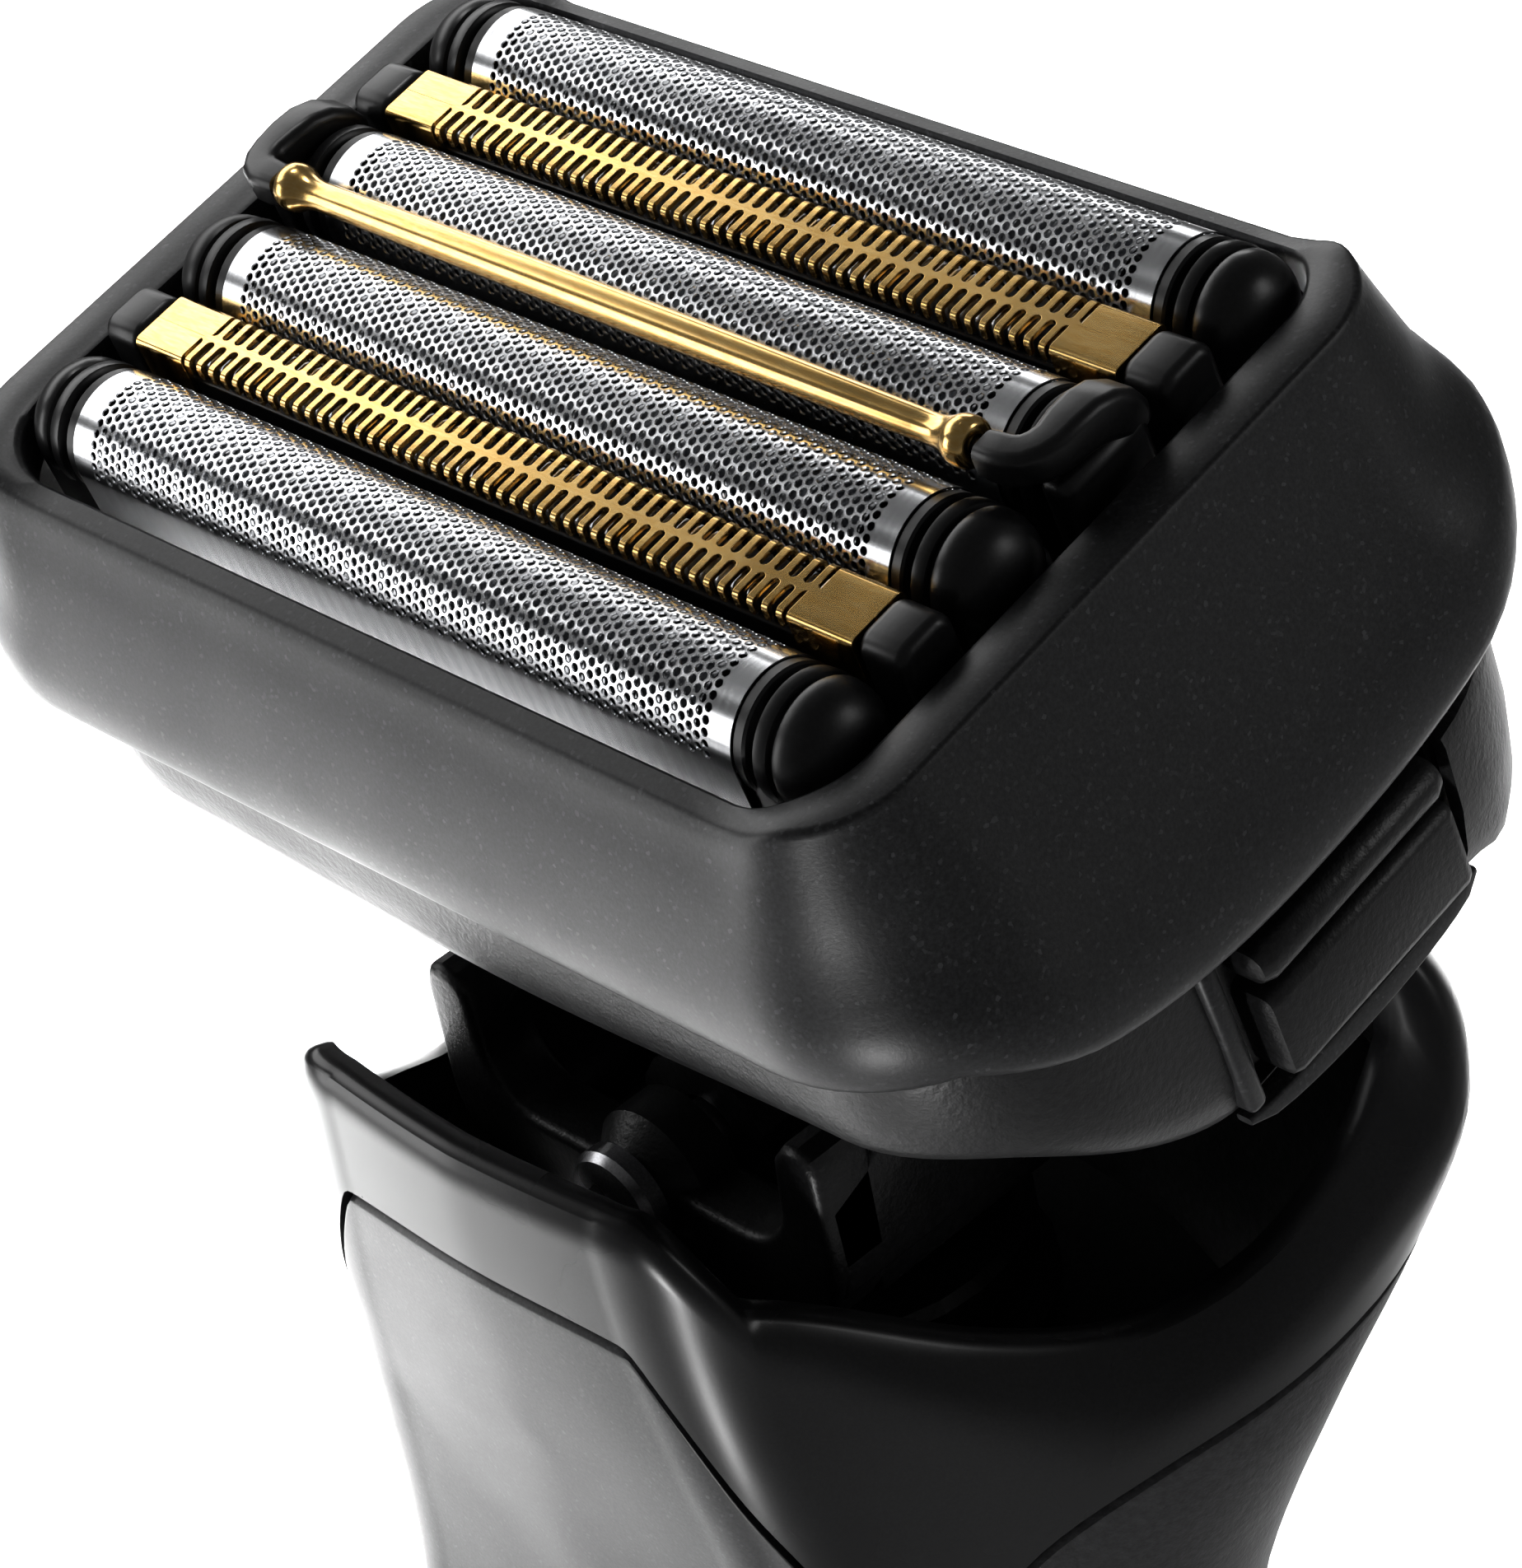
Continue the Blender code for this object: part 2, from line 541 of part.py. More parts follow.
def neck(lift, twist, roll):
    y = NECK_AXIS.y
    post = [(0, -44.9), (5.3, -44.9), (5.3, -60.0), (6.6, -60.0), (6.6, -62.0), (0, -62.0)]
    put("neck_post", turned(post, (0, y, 0), "Z", 20), "inner_plastic", HANDLE, lift, NECK_AXIS)
    spring_coil("lift_spring", 4.6, 0.5, -75.3, -62.3, 4, (0, y))

    disc = [(0, -42.0), (7.6, -42.0), (8.0, -42.4), (8.0, -44.2), (7.6, -44.6), (0, -44.6)]
    swivel = put("swivel_block", turned(disc, (0, y, 0), "Z", 28), "base_plastic", HANDLE, twist, NECK_AXIS)
    knuckle = arc((0, ROLL_AXIS.z), 3.6, 0, 180, 8) + [(-4.6, -42.6), (4.6, -42.6)]
    join(swivel, prism(knuckle, y - 5.4, y + 5.4, "Y"), HANDLE)
    cut(swivel, rod(1.75, -20, 20, ROLL_AXIS, "Y", 16), HANDLE)

    pin = [(0, -9.4), (1.4, -9.4), (2.3, -8.9), (2.3, -8.2), (1.4, -8.2), (1.4, 11.6), (0, 11.6)]
    put("roll_pin", turned(pin, (0, 0, ROLL_AXIS.z), "Y", 16), "bright_metal", HANDLE, twist, ROLL_AXIS)

    front, back = -7.8, 10.8
    inner, outer, floor, foot = 8.3, 11.0, -31.0, -38.0
    bar = [(-outer, foot + 2.5), (-outer + 2.5, foot), (outer - 2.5, foot), (outer, foot + 2.5),
           (outer, floor), (-outer, floor)]
    cradle = put("cradle", prism(bar, front, back, "Y"), "base_plastic", HANDLE, roll, ROLL_AXIS)
    cut(cradle, box((-6.0, y - 6.0, -45), (6.0, y + 6.0, -25)), HANDLE)
    arm = [(front, -36.0), (back, -36.0), (back, -29.5)] + arc(TILT_AXIS.yz, 3.6, 0, 180, 8) + [(front, -28.3)]
    for side in (-1, 1):
        low, high = sorted((side * inner, side * outer))
        join(cradle, prism(arm, low, high, "X"), HANDLE)
    cut(cradle, rod(1.75, -20, 20, ROLL_AXIS, "Y", 16), HANDLE)
    cut(cradle, rod(1.6, -20, 20, TILT_AXIS, "X", 16), HANDLE)
    for side, sign in (("left", -1), ("right", 1)):
        low, high = sorted((sign * 6.4, sign * 11.6))
        put(f"tilt_pin_{side}", rod(1.25, low, high, TILT_AXIS, "X", 16), "bright_metal", HANDLE, roll,
            TILT_AXIS)


# Head

def skirt_edge(x, y):
    """Height of the head frame's lower edge, which dips in the middle of each side."""
    side = ease(abs(x), 19.0, 26.5)
    return -11.4 - 4.3 * side * (1 - min(abs((y - 1.0) / 16.0), 1.0) ** 2.4)


def base_edge(x, y):
    """Height of the head base's lower edge: low at the sides and the back, high in front."""
    side = ease(abs(x), 14.0, 24.0)
    back = ease(y, -14.0, 6.0)
    smile = 1.3 * (1 - ease(abs(x), 0.0, 20.0)) * (1 - back)
    return -18.2 - smile - 7.0 * side * ease(y, -16.0, -4.0) - 3.5 * back * (1 - side)


def head_shells(tilt):
    rows = []
    sizes = (
        # half width, front, back, corner, height at the sides, at front and back, share of the skirt
        (21.8, -14.3, 14.0, 3.2, -1.1, -1.7, 0.0),
        (23.7, -15.3, 14.9, 4.2, -1.1, -1.7, 0.0),
        (24.1, -15.9, 15.4, 4.6, -1.5, -2.4, 0.0),
        (25.3, -16.8, 16.3, 5.6, 0.0, 0.0, 0.25),
        (26.4, -17.6, 17.1, 6.6, 0.0, 0.0, 0.50),
        (27.3, -18.1, 17.6, 7.4, 0.0, 0.0, 0.75),
        (27.6, -18.2, 17.7, 7.8, 0.0, 0.0, 0.92),
        (27.2, -17.8, 17.3, 7.8, 0.0, 0.0, 1.0),
    )
    for half_x, front, back, corner, side_top, end_top, share in sizes:
        row = []
        for x, y in rounded_outline(half_x, front, back, corner):
            on_side = ease(abs(x), 19.0, 21.5)
            top = end_top + (side_top - end_top) * on_side
            if share:
                top = -2.0 + (skirt_edge(x * 27.2 / half_x, y) + 2.0) * share
            row.append((x, y, top))
        rows.append(row)
    frame = put("head_frame", skin(rows, True), "frame_plastic", HEAD, tilt, smooth=35)
    thicken(frame, FRAME_WALL)

    rows = []
    for half_x, front, back, corner, rear, share in ((24.7, -15.4, 14.6, 6.0, 8.4, 0.0),
                                                     (25.4, -16.0, 15.2, 6.6, 9.0, 0.35),
                                                     (25.6, -16.3, 15.4, 7.0, 9.2, 0.7),
                                                     (25.2, -16.0, 15.2, 7.0, 9.2, 0.93),
                                                     (24.0, -15.0, 14.4, 6.6, 8.6, 1.0),
                                                     (20.5, -13.2, 12.6, 5.0, 7.0, 0.97)):
        rows.append([(x, y, -9.6 + (base_edge(x * 24 / half_x, y) + 9.6) * share)
                     for x, y in rounded_outline(half_x, front, back, corner, rear)])
    rows.append([(x, y, -19.6) for x, y in rounded_outline(12.6, -11.0, 9.5, 2.0)])
    base = put("head_base", skin(rows, True), "base_plastic", HEAD, tilt, smooth=35)
    thicken(base, BASE_WALL)
    for sign in (-1, 1):
        low, high = sorted((sign * 22.4, sign * 29.0))
        cut(base, box((low, -4.1, -23.9), (high, 7.6, -16.2)), HEAD)

    deck = prism(rounded_outline(22.4, -13.2, 12.2, 4.0, 6.5, 3, 0), DECK_TOP - 1.6, DECK_TOP, "Z")
    deck = put("blade_deck", deck, "base_plastic", HEAD, tilt)
    cut(deck, box((-5.8, -5.8, -16), (5.8, 3.8, -12)), HEAD)

    outline = [point for point in rounded_outline(26.1, -16.6, 16.0, 7.2, 9.6) if point[1] > 8.0]
    rows = [[(x * size, y, z) for x, y in outline] for z, size in ((-17.0, 1.0), (-21.0, 0.995), (-24.8, 0.97))]
    cover = put("rear_cover", skin(rows, False), "base_plastic", HEAD, tilt)
    thicken(cover, -0.9)


def release_buttons(tilt):
    """A push button on each side of the base: a finger plate under a rounded bar, on one carrier."""
    for side, sign in (("left", -1), ("right", 1)):
        def span(near, far):
            return sorted((sign * near, sign * far))
        (low, high), (plate_low, plate_high), (bar_low, bar_high) = span(23.3, 25.0), span(24.6, 26.9), \
            span(24.6, 27.1)
        rest = (sign * 25.0, 1.6, -20.0)
        axis = new_axis(f"release_{side}_axis", HEAD, rest, tilt)
        button = put(f"release_button_{side}", box((low, -3.8, -23.5), (high, 7.2, -16.6), 0.3, 1),
                     "base_plastic", HEAD, axis, rest)
        join(button, box((plate_low, -3.5, -23.3), (plate_high, 7.0, -19.0), 0.5), HEAD)
        join(button, box((bar_low, -3.5, -18.6), (bar_high, 7.0, -16.8), 0.7), HEAD)


def foil_shape():
    """An inverted U, arched on top, as an outline in YZ round the foil's own axis."""
    inner = FOIL_RADIUS - FOIL_WALL
    outline = arc((0, 0), FOIL_RADIUS, 0, 180, 14) + [(-FOIL_RADIUS, -FOIL_LEG), (-inner, -FOIL_LEG)]
    return outline + arc((0, 0), inner, 180, 0, 14) + [(inner, -FOIL_LEG), (FOIL_RADIUS, -FOIL_LEG)]


def moved(outline, centre):
    return [(a + centre.y, b + centre.z) for a, b in outline]


def foil_holder(name, centre, knob, tilt):
    """Two end caps, each a ringed half-round, joined under the foil by two rails."""
    rail = (1.5, 2.2)
    end = FOIL_HALF_LENGTH + 1.5
    shape = box((-end, centre.y + rail[0], centre.z - 5.6), (end, centre.y + rail[1], centre.z - FOIL_LEG - GAP))
    holder = put(name, shape, "cap_plastic", HEAD, tilt, centre, smooth=40)
    join(holder, box((-end, centre.y - rail[1], centre.z - 5.6),
                     (end, centre.y - rail[0], centre.z - FOIL_LEG - GAP)), HEAD)
    start = FOIL_HALF_LENGTH + GAP
    for sign in (-1, 1):
        rings = [(0, start), (2.35, start), (2.35, start + 0.5), (1.95, start + 0.6), (1.95, start + 0.9),
                 (2.4, start + 1.0), (2.4, start + 1.5)]
        if knob:
            rings += [(2.1, start + 1.65), (2.35, start + 1.9), (2.2, start + 2.5), (1.8, start + 3.0),
                      (0.9, CAP_END), (0, CAP_END)]
        else:
            rings += [(0, start + 1.5)]
        rings = [(radius, sign * distance) for radius, distance in rings]
        join(holder, turned(rings, centre, "X", 16), HEAD)
        block_end = CAP_END - 0.6 if knob else start + 1.45
        low, high = sorted((sign * (start + 0.1), sign * block_end))
        join(holder, box((low, centre.y - 2.2, centre.z - 5.7), (high, centre.y + 2.2, centre.z - 1.0), 0.3, 1),
             HEAD)


def forked_foot(cutter, centre, width, low, high):
    """A foot whose slot lets the drive pin push it along X while the unit sinks."""
    join(cutter, box((-3.0, centre.y - width, centre.z + low), (3.0, centre.y + width, centre.z + high)), HEAD)
    cut(cutter, box((-0.9, centre.y - 2.0, centre.z + low - 1), (0.9, centre.y + 2.0, -5.9)), HEAD)


def inner_cutter(name, centre, parent):
    """The arched block of blades under a foil, with the foot that a drive pin pushes."""
    half = 16.2
    arch = arc((0, 0), CUTTER_RADIUS, 0, 180, 10) + [(-CUTTER_RADIUS, -1.4), (CUTTER_RADIUS, -1.4)]
    cutter = put(name, prism(moved(arch, centre), -half, half, "X"), "cutter_steel", HEAD, parent, centre)
    forked_foot(cutter, centre, 1.0, -8.9 - centre.z, -1.0)


def foil_unit(number, centre, axis, knob=True):
    put(f"foil_{number}", prism(moved(foil_shape(), centre), -FOIL_HALF_LENGTH, FOIL_HALF_LENGTH, "X"),
        "foil_steel", HEAD, axis, centre)
    foil_holder(f"foil_holder_{number}", centre, knob, axis)
    cutter_axis = new_axis(f"inner_cutter_{number}_axis", HEAD, centre, axis)
    inner_cutter(f"inner_cutter_{number}", centre, cutter_axis)


def slit_unit(number, y, tilt):
    """A flat-topped slit blade in its holder, with a bar cutter inside."""
    rest = (0.0, y, 0.0)
    axis = new_axis(f"slit_{number}_axis", HEAD, rest, tilt)
    width, wall, depth = SLIT_HALF_WIDTH, SLIT_WALL, SLIT_DEPTH
    channel = [(width, -depth), (width, -0.25), (width - 0.25, 0), (0.25 - width, 0), (-width, -0.25),
               (-width, -depth), (wall - width, -depth), (wall - width, -wall), (width - wall, -wall),
               (width - wall, -depth)]
    channel = [(a + y, b) for a, b in channel]
    put(f"slit_blade_{number}", prism(channel, -SLIT_HALF_LENGTH, SLIT_HALF_LENGTH, "X"), "blade_gold", HEAD,
        axis, rest)
    top, foot = -depth - GAP, -7.3
    start = SLIT_HALF_LENGTH + GAP
    holder = put(f"slit_holder_{number}", box((-start - 0.5, y + 0.75, foot), (start + 0.5, y + 1.25, top)),
                 "cap_plastic", HEAD, axis, rest, smooth=40)
    join(holder, box((-start - 0.5, y - 1.25, foot), (start + 0.5, y - 0.75, top)), HEAD)
    for sign in (-1, 1):
        low, high = sorted((sign * start, sign * CAP_END))
        join(holder, box((low, y - 1.33, foot + 0.1), (high, y + 1.33, 0.1), 0.5), HEAD)
    cutter_axis = new_axis(f"slit_cutter_{number}_axis", HEAD, rest, axis)
    cutter = put(f"slit_cutter_{number}", box((-17.2, y - 0.58, -2.6), (17.2, y + 0.58, -wall - GAP)),
                 "cutter_steel", HEAD, cutter_axis, rest)
    forked_foot(cutter, Vector(rest), 0.45, -8.9, -2.4)


def comfort_roller(axis):
    centre = (0.0, 0.0, ROLLER_Z)
    roller_axis = new_axis("comfort_roller_axis", HEAD, centre, axis)
    half, steps = ROLLER_HALF_LENGTH, 8
    profile = [(ROLLER_BORE, half), (ROLLER_END_RADIUS - 0.1, half), (ROLLER_END_RADIUS, half - 0.25),
               (ROLLER_END_RADIUS, half - 0.8), (ROLLER_WAIST_RADIUS, half - 2.0)]
    for step in range(1, steps):
        x = (half - 2.0) * (1 - 2 * step / steps)
        profile.append((ROLLER_WAIST_RADIUS + 0.14 * (1 - (x / half) ** 2), x))
    profile += [(radius, -x) for radius, x in reversed(profile[:5])]
    put("comfort_roller", turned(profile, centre, "X", 20, closed=True), "blade_gold", HEAD, roller_axis, centre)
    put("roller_axle", rod(0.28, -half - 1.2, half + 1.2, centre, "X", 12), "bright_metal", HEAD, axis, centre)
    for side, sign in (("left", -1), ("right", 1)):
        def span(near, far):
            return sorted((sign * near, sign * far))
        rest = (0.0, INNER_FOIL.y, INNER_FOIL.z)
        low, high = span(FOIL_HALF_LENGTH + 2.1, CAP_END)
        bracket = put(f"roller_bracket_{side}", box((low, 0.1, -6.6), (high, 4.9, 1.0), 0.5), "cap_plastic",
                      HEAD, axis, rest, smooth=40)
        low, high = span(half + GAP, CAP_END - 0.3)
        join(bracket, box((low, -0.75, 0.2), (high, 0.7, 1.75), 0.3), HEAD)
        cut(bracket, rod(0.58, *span(half - 1, half + 1.5), centre, "X", 12), HEAD)


def motor(tilt):
    """The linear motor under the blades: a housing, a coil round its core, and two carriages that run
    against each other and carry the drive pins."""
    rest = (0.0, -1.0, -20.0)
    housing = put("motor_housing", box((-7.5, -8.5, -27.0), (7.5, 6.5, -15.2), 1.2), "inner_plastic", HEAD,
                  tilt, rest)
    cut(housing, box((-6.1, -7.1, -25.6), (6.1, 5.1, -14.0)), HEAD)
    tilt_axis = (HEAD.inverted() @ HANDLE) @ (TILT_AXIS * MM) / MM
    cut(housing, rod(1.55, -12, 12, tilt_axis, "X", 16), HEAD)
    core = put("motor_core", box((-5.2, -6.2, -25.2), (5.2, 4.2, -23.6)), "bright_metal", HEAD, tilt, rest)
    join(core, box((-1.2, -3.0, -24.0), (1.2, 1.0, -19.8)), HEAD)
    coil = put("motor_coil", box((-3.8, -5.4, -23.2), (3.8, 3.4, -20.4), 0.6), "coil_copper", HEAD, tilt, rest)
    cut(coil, box((-1.5, -3.3, -24.0), (1.5, 1.3, -19.0)), HEAD)
    for letter, sign, leg in (("a", -1, (-5.0, -3.4)), ("b", 1, (1.4, 3.0))):
        axis = new_axis(f"carriage_{letter}_axis", HEAD, (0, 0, -12), tilt)
        near, far = sorted((sign * 0.45, sign * 12.0))
        carriage = put(f"carriage_{letter}", box((-8.0, near, CARRIAGE_TOP - 1.4), (8.0, far, CARRIAGE_TOP)),
                       "inner_plastic", HEAD, axis, (0, 0, -12))
        join(carriage, box((-4.0, leg[0], -18.8), (4.0, leg[1], CARRIAGE_TOP - 0.2)), HEAD)
        for y, half in ((sign * OUTER_FOIL.y, 0.8), (sign * SLIT_Y, 0.45), (sign * INNER_FOIL.y, 0.8)):
            join(carriage, box((-0.6, y - half, CARRIAGE_TOP - 0.2), (0.6, y + half, -7.8)), HEAD)


# Assembly

clear_scene()
SHAVER = new_collection("foil_shaver")
HELPERS = new_collection("helpers")
PLACES = {}
HANDLE = Matrix.Translation((0, FRAME_Y * MM, HEAD_HEIGHT * MM))
HEAD = HANDLE @ Matrix.Rotation(HEAD_LEAN, 4, "X")

LIFT = new_axis("lift_axis", HANDLE, NECK_AXIS)
TWIST = new_axis("twist_axis", HANDLE, NECK_AXIS, LIFT)
ROLL = new_axis("roll_axis", HANDLE, ROLL_AXIS, TWIST)
TILT = new_axis("tilt_axis", HANDLE, TILT_AXIS, ROLL)

COLLAR, PANEL, GRIP = handle_shells()
bottom_cap()
handle_deck()
handle_inside()
handle_controls(PANEL)
trimmer(GRIP)
neck(LIFT, TWIST, ROLL)
head_shells(TILT)
release_buttons(TILT)
motor(TILT)

for number, y in ((1, -OUTER_FOIL.y), (4, OUTER_FOIL.y)):
    place = Vector((0, y, OUTER_FOIL.z))
    foil_unit(number, place, new_axis(f"foil_{number}_axis", HEAD, place, TILT))
CENTRE = new_axis("centre_unit_axis", HEAD, INNER_FOIL * Vector((0, 0, 1)), TILT)
foil_unit(2, Vector((0, -INNER_FOIL.y, INNER_FOIL.z)), CENTRE)
foil_unit(3, INNER_FOIL, CENTRE, knob=False)
comfort_roller(CENTRE)
slit_unit(1, -SLIT_Y, TILT)
slit_unit(2, SLIT_Y, TILT)
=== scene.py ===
"""The looks of the foil shaver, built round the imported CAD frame.

Shapes are written in millimetres in one of two frames. HANDLE counts its heights from the flat tops of the
slit blades, and HEAD is the same frame leaned forward with the head. X runs along the foils, -Y is the front.
"""

import json
import math

import bmesh
import bpy
from mathutils import Matrix, Vector


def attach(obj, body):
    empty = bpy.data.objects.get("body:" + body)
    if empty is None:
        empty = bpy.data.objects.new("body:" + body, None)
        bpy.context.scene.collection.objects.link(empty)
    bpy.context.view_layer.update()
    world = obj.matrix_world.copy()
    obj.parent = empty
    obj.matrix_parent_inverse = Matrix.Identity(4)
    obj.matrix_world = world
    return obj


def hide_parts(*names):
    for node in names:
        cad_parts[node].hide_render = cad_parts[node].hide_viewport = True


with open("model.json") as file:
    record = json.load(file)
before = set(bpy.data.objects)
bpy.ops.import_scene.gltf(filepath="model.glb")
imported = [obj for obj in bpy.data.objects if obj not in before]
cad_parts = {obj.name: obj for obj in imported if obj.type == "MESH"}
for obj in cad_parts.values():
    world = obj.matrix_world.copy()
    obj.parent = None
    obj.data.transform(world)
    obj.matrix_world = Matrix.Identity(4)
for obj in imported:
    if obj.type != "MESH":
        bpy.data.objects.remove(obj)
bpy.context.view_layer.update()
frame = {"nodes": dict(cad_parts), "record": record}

MM = 0.001
LEAN = math.radians(13.0)
HANDLE = Matrix.Translation((0, -2.72 * MM, 165.0 * MM))
HEAD = HANDLE @ Matrix.Rotation(LEAN, 4, "X")
SIDES = (("left", -1), ("right", 1))


# Numbers

def ease(value, low, high):
    share = min(max((value - low) / (high - low), 0.0), 1.0)
    return share * share * (3 - 2 * share)


def lerp(low, high, share):
    return low + (high - low) * share


def through(table, place):
    """Reads a smooth curve through a table's points, each (place, value, ...)."""
    keys = [row[0] for row in table]
    rising = keys[-1] > keys[0]
    index = 0
    while index < len(keys) - 2 and (place > keys[index + 1] if rising else place < keys[index + 1]):
        index += 1
    before, start, end, after = (table[min(max(index + step, 0), len(table) - 1)] for step in (-1, 0, 1, 2))
    span = end[0] - start[0]
    share = min(max((place - start[0]) / span, 0.0), 1.0)
    square, cube = share * share, share ** 3
    values = []
    for column in range(1, len(start)):
        rise = end[column] - start[column]
        slopes = ((end[column] - before[column]) / (end[0] - before[0]) * span,
                  (after[column] - start[column]) / (after[0] - start[0]) * span)
        slope_in, slope_out = (
            0.0 if slope * rise <= 0 else math.copysign(min(abs(slope), 3 * abs(rise)), rise)
            for slope in slopes)
        values.append(start[column] * (2 * cube - 3 * square + 1) + slope_in * (cube - 2 * square + share)
                      + end[column] * (3 * square - 2 * cube) + slope_out * (cube - square))
    return values


def arc(centre, radius, first, last, steps):
    turns = [math.radians(lerp(first, last, step / steps)) for step in range(steps + 1)]
    return [(centre[0] + radius * math.cos(turn), centre[1] + radius * math.sin(turn)) for turn in turns]


def bezier(points, share):
    points = [Vector(point) for point in points]
    while len(points) > 1:
        points = [a.lerp(b, share) for a, b in zip(points, points[1:])]
    return points[0]


def between(low, high, steps):
    return [lerp(low, high, step / steps) for step in range(steps + 1)]


def across(side, near, far):
    """The stretch from near to far on one side of the middle, lower end first."""
    return sorted((side * near, side * far))


# Pieces

def placed(name, data):
    """An object of the scene that shows a mesh, a light or a camera."""
    made = bpy.data.objects.new(name, data)
    bpy.context.scene.collection.objects.link(made)
    return made


def surface(name, points, faces, place, sheet=False):
    """A mesh from points in a frame's millimetres. A solid's faces turn outwards, and a sheet's stay."""
    mesh = bpy.data.meshes.new(name)
    mesh.from_pydata([place @ (Vector(point) * MM) for point in points], [], faces)
    shape = bmesh.new()
    shape.from_mesh(mesh)
    bmesh.ops.remove_doubles(shape, verts=shape.verts, dist=1e-7)
    if not sheet:
        bmesh.ops.recalc_face_normals(shape, faces=shape.faces)
    shape.to_mesh(mesh)
    shape.free()
    return mesh


def piece(name, points, faces, finish, body, place=HEAD, nodes=(), sharp=35, wall=None, bevel=None):
    """A finished piece. A wall thickens an open sheet, and a bevel is (width, segments, least angle)."""
    mesh = surface(name, points, faces, place, sheet=bool(wall))
    mesh.materials.append(MATERIALS[finish])
    mesh.shade_smooth()
    mesh.set_sharp_from_angle(angle=math.radians(sharp))
    made = placed(name, mesh)
    if wall:
        maker = made.modifiers.new("wall", "SOLIDIFY")
        maker.thickness, maker.offset, maker.use_even_offset = wall * MM, -1.0, True
    if bevel:
        width, segments, angle = bevel
        softener = made.modifiers.new("edges", "BEVEL")
        softener.width, softener.segments = width * MM, segments
        softener.limit_method, softener.angle_limit = "ANGLE", math.radians(angle)
        softener.harden_normals = True
    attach(made, body)
    if nodes:
        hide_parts(*nodes)
    return made


class Shape:
    """Gathers closed solids into one mesh."""

    def __init__(self):
        self.points, self.faces = [], []

    def loft(self, loops, wrap=False, closed=True):
        """Joins loops of points in turn, and caps the ends unless it wraps round. Loops may stay open."""
        start, count, size = len(self.points), len(loops), len(loops[0])
        faces = []
        for a in range(count if wrap else count - 1):
            b = (a + 1) % count
            for i in range(size if closed else size - 1):
                j = (i + 1) % size
                faces.append((a * size + i, b * size + i, b * size + j, a * size + j))
        if not wrap:
            faces += [range(size), [(count - 1) * size + i for i in reversed(range(size))]]
        self.points += [tuple(point) for loop in loops for point in loop]
        self.faces += [tuple(start + corner for corner in face) for face in faces]
        return self

    def turned(self, profile, centre, axis, sides=32, ring=False):
        """Turns (radius, distance) points round an axis through centre. The profile is a closed ring, or else
        starts and ends on the axis."""
        centre, index = Vector(centre), "XYZ".index(axis)
        loops = []
        for step in range(sides):
            turn = 2 * math.pi * step / sides
            loop = []
            for radius, distance in profile:
                spot = [radius * math.cos(turn), radius * math.sin(turn)]
                spot.insert(index, distance)
                loop.append(centre + Vector(spot))
            loops.append(loop)
        return self.loft(loops, wrap=True, closed=ring)

    def prism(self, outline, start, end, axis, soft=0.0, steps=2):
        """Extrudes a flat outline along an axis, with softened ends if asked."""
        index = "XYZ".index(axis)
        inner = shrunk(outline, soft) if soft else outline
        levels = [(0.0, 0.0)]
        if soft:
            levels = [(soft * (1 - math.sin(turn)), 1 - math.cos(turn))
                      for turn in reversed(between(0, math.pi / 2, steps))]
        ends = [(start + back, share) for back, share in levels]
        ends += [(end - back, share) for back, share in reversed(levels)]
        loops = []
        for spot, share in ends:
            loop = [[lerp(a[0], b[0], share), lerp(a[1], b[1], share)] for a, b in zip(outline, inner)]
            for point in loop:
                point.insert(index, spot)
            loops.append(loop)
        return self.loft(loops)

    def sweep(self, path, radius, steps=6):
        """Carries a section with rounded corners along a path of (place, half width, half height)."""
        loops = []
        for index, (place, half_width, half_height) in enumerate(path):
            before, after = path[max(index - 1, 0)][0], path[min(index + 1, len(path) - 1)][0]
            along = (Vector(after) - Vector(before)).normalized()
            side = along.cross(Vector((0, 0, 1))).normalized()
            up = side.cross(along)
            loops.append([Vector(place) + side * a + up * b for a, b in
                          rounded((-half_width, -half_height), (half_width, half_height), radius, steps)])
        return self.loft(loops)

    def make(self, name, finish, body, **more):
        return piece(name, self.points, self.faces, finish, body, **more)


def shrunk(outline, by):
    """The outline moved inwards, for softened edges."""
    count = len(outline)
    area = sum(outline[i][0] * outline[(i + 1) % count][1] - outline[(i + 1) % count][0] * outline[i][1]
               for i in range(count))
    side = math.copysign(1.0, area)
    moved = []
    for i in range(count):
        before, here, after = (Vector(outline[(i + step) % count]) for step in (-1, 0, 1))
        into, out = (here - before).normalized(), (after - here).normalized()
        normal = Vector((-(into.y + out.y), into.x + out.x))
        if normal.length < 1e-9:
            moved.append(tuple(here))
            continue
        normal.normalize()
        stretch = max(normal.dot(Vector((-into.y, into.x))), 0.5)
        moved.append(tuple(here + normal * side * by / stretch))
    return moved


def rounded(low, high, radius, steps=5):
    """A rounded rectangle as an anticlockwise outline."""
    (x0, y0), (x1, y1) = low, high
    corners = ((x1 - radius, y0 + radius), (x1 - radius, y1 - radius), (x0 + radius, y1 - radius),
               (x0 + radius, y0 + radius))
    return [point for turn, corner in enumerate(corners)
            for point in arc(corner, radius, 90 * turn - 90, 90 * turn, steps)]


def block(shape, low, high, radius=0.4, axis="X", soft=0.3, steps=3):
    """A rounded block: a rounded rectangle extruded along an axis with softened ends."""
    index = "XYZ".index(axis)
    flat_low = [value for i, value in enumerate(low) if i != index]
    flat_high = [value for i, value in enumerate(high) if i != index]
    return shape.prism(rounded(flat_low, flat_high, radius, steps), low[index], high[index], axis, soft)


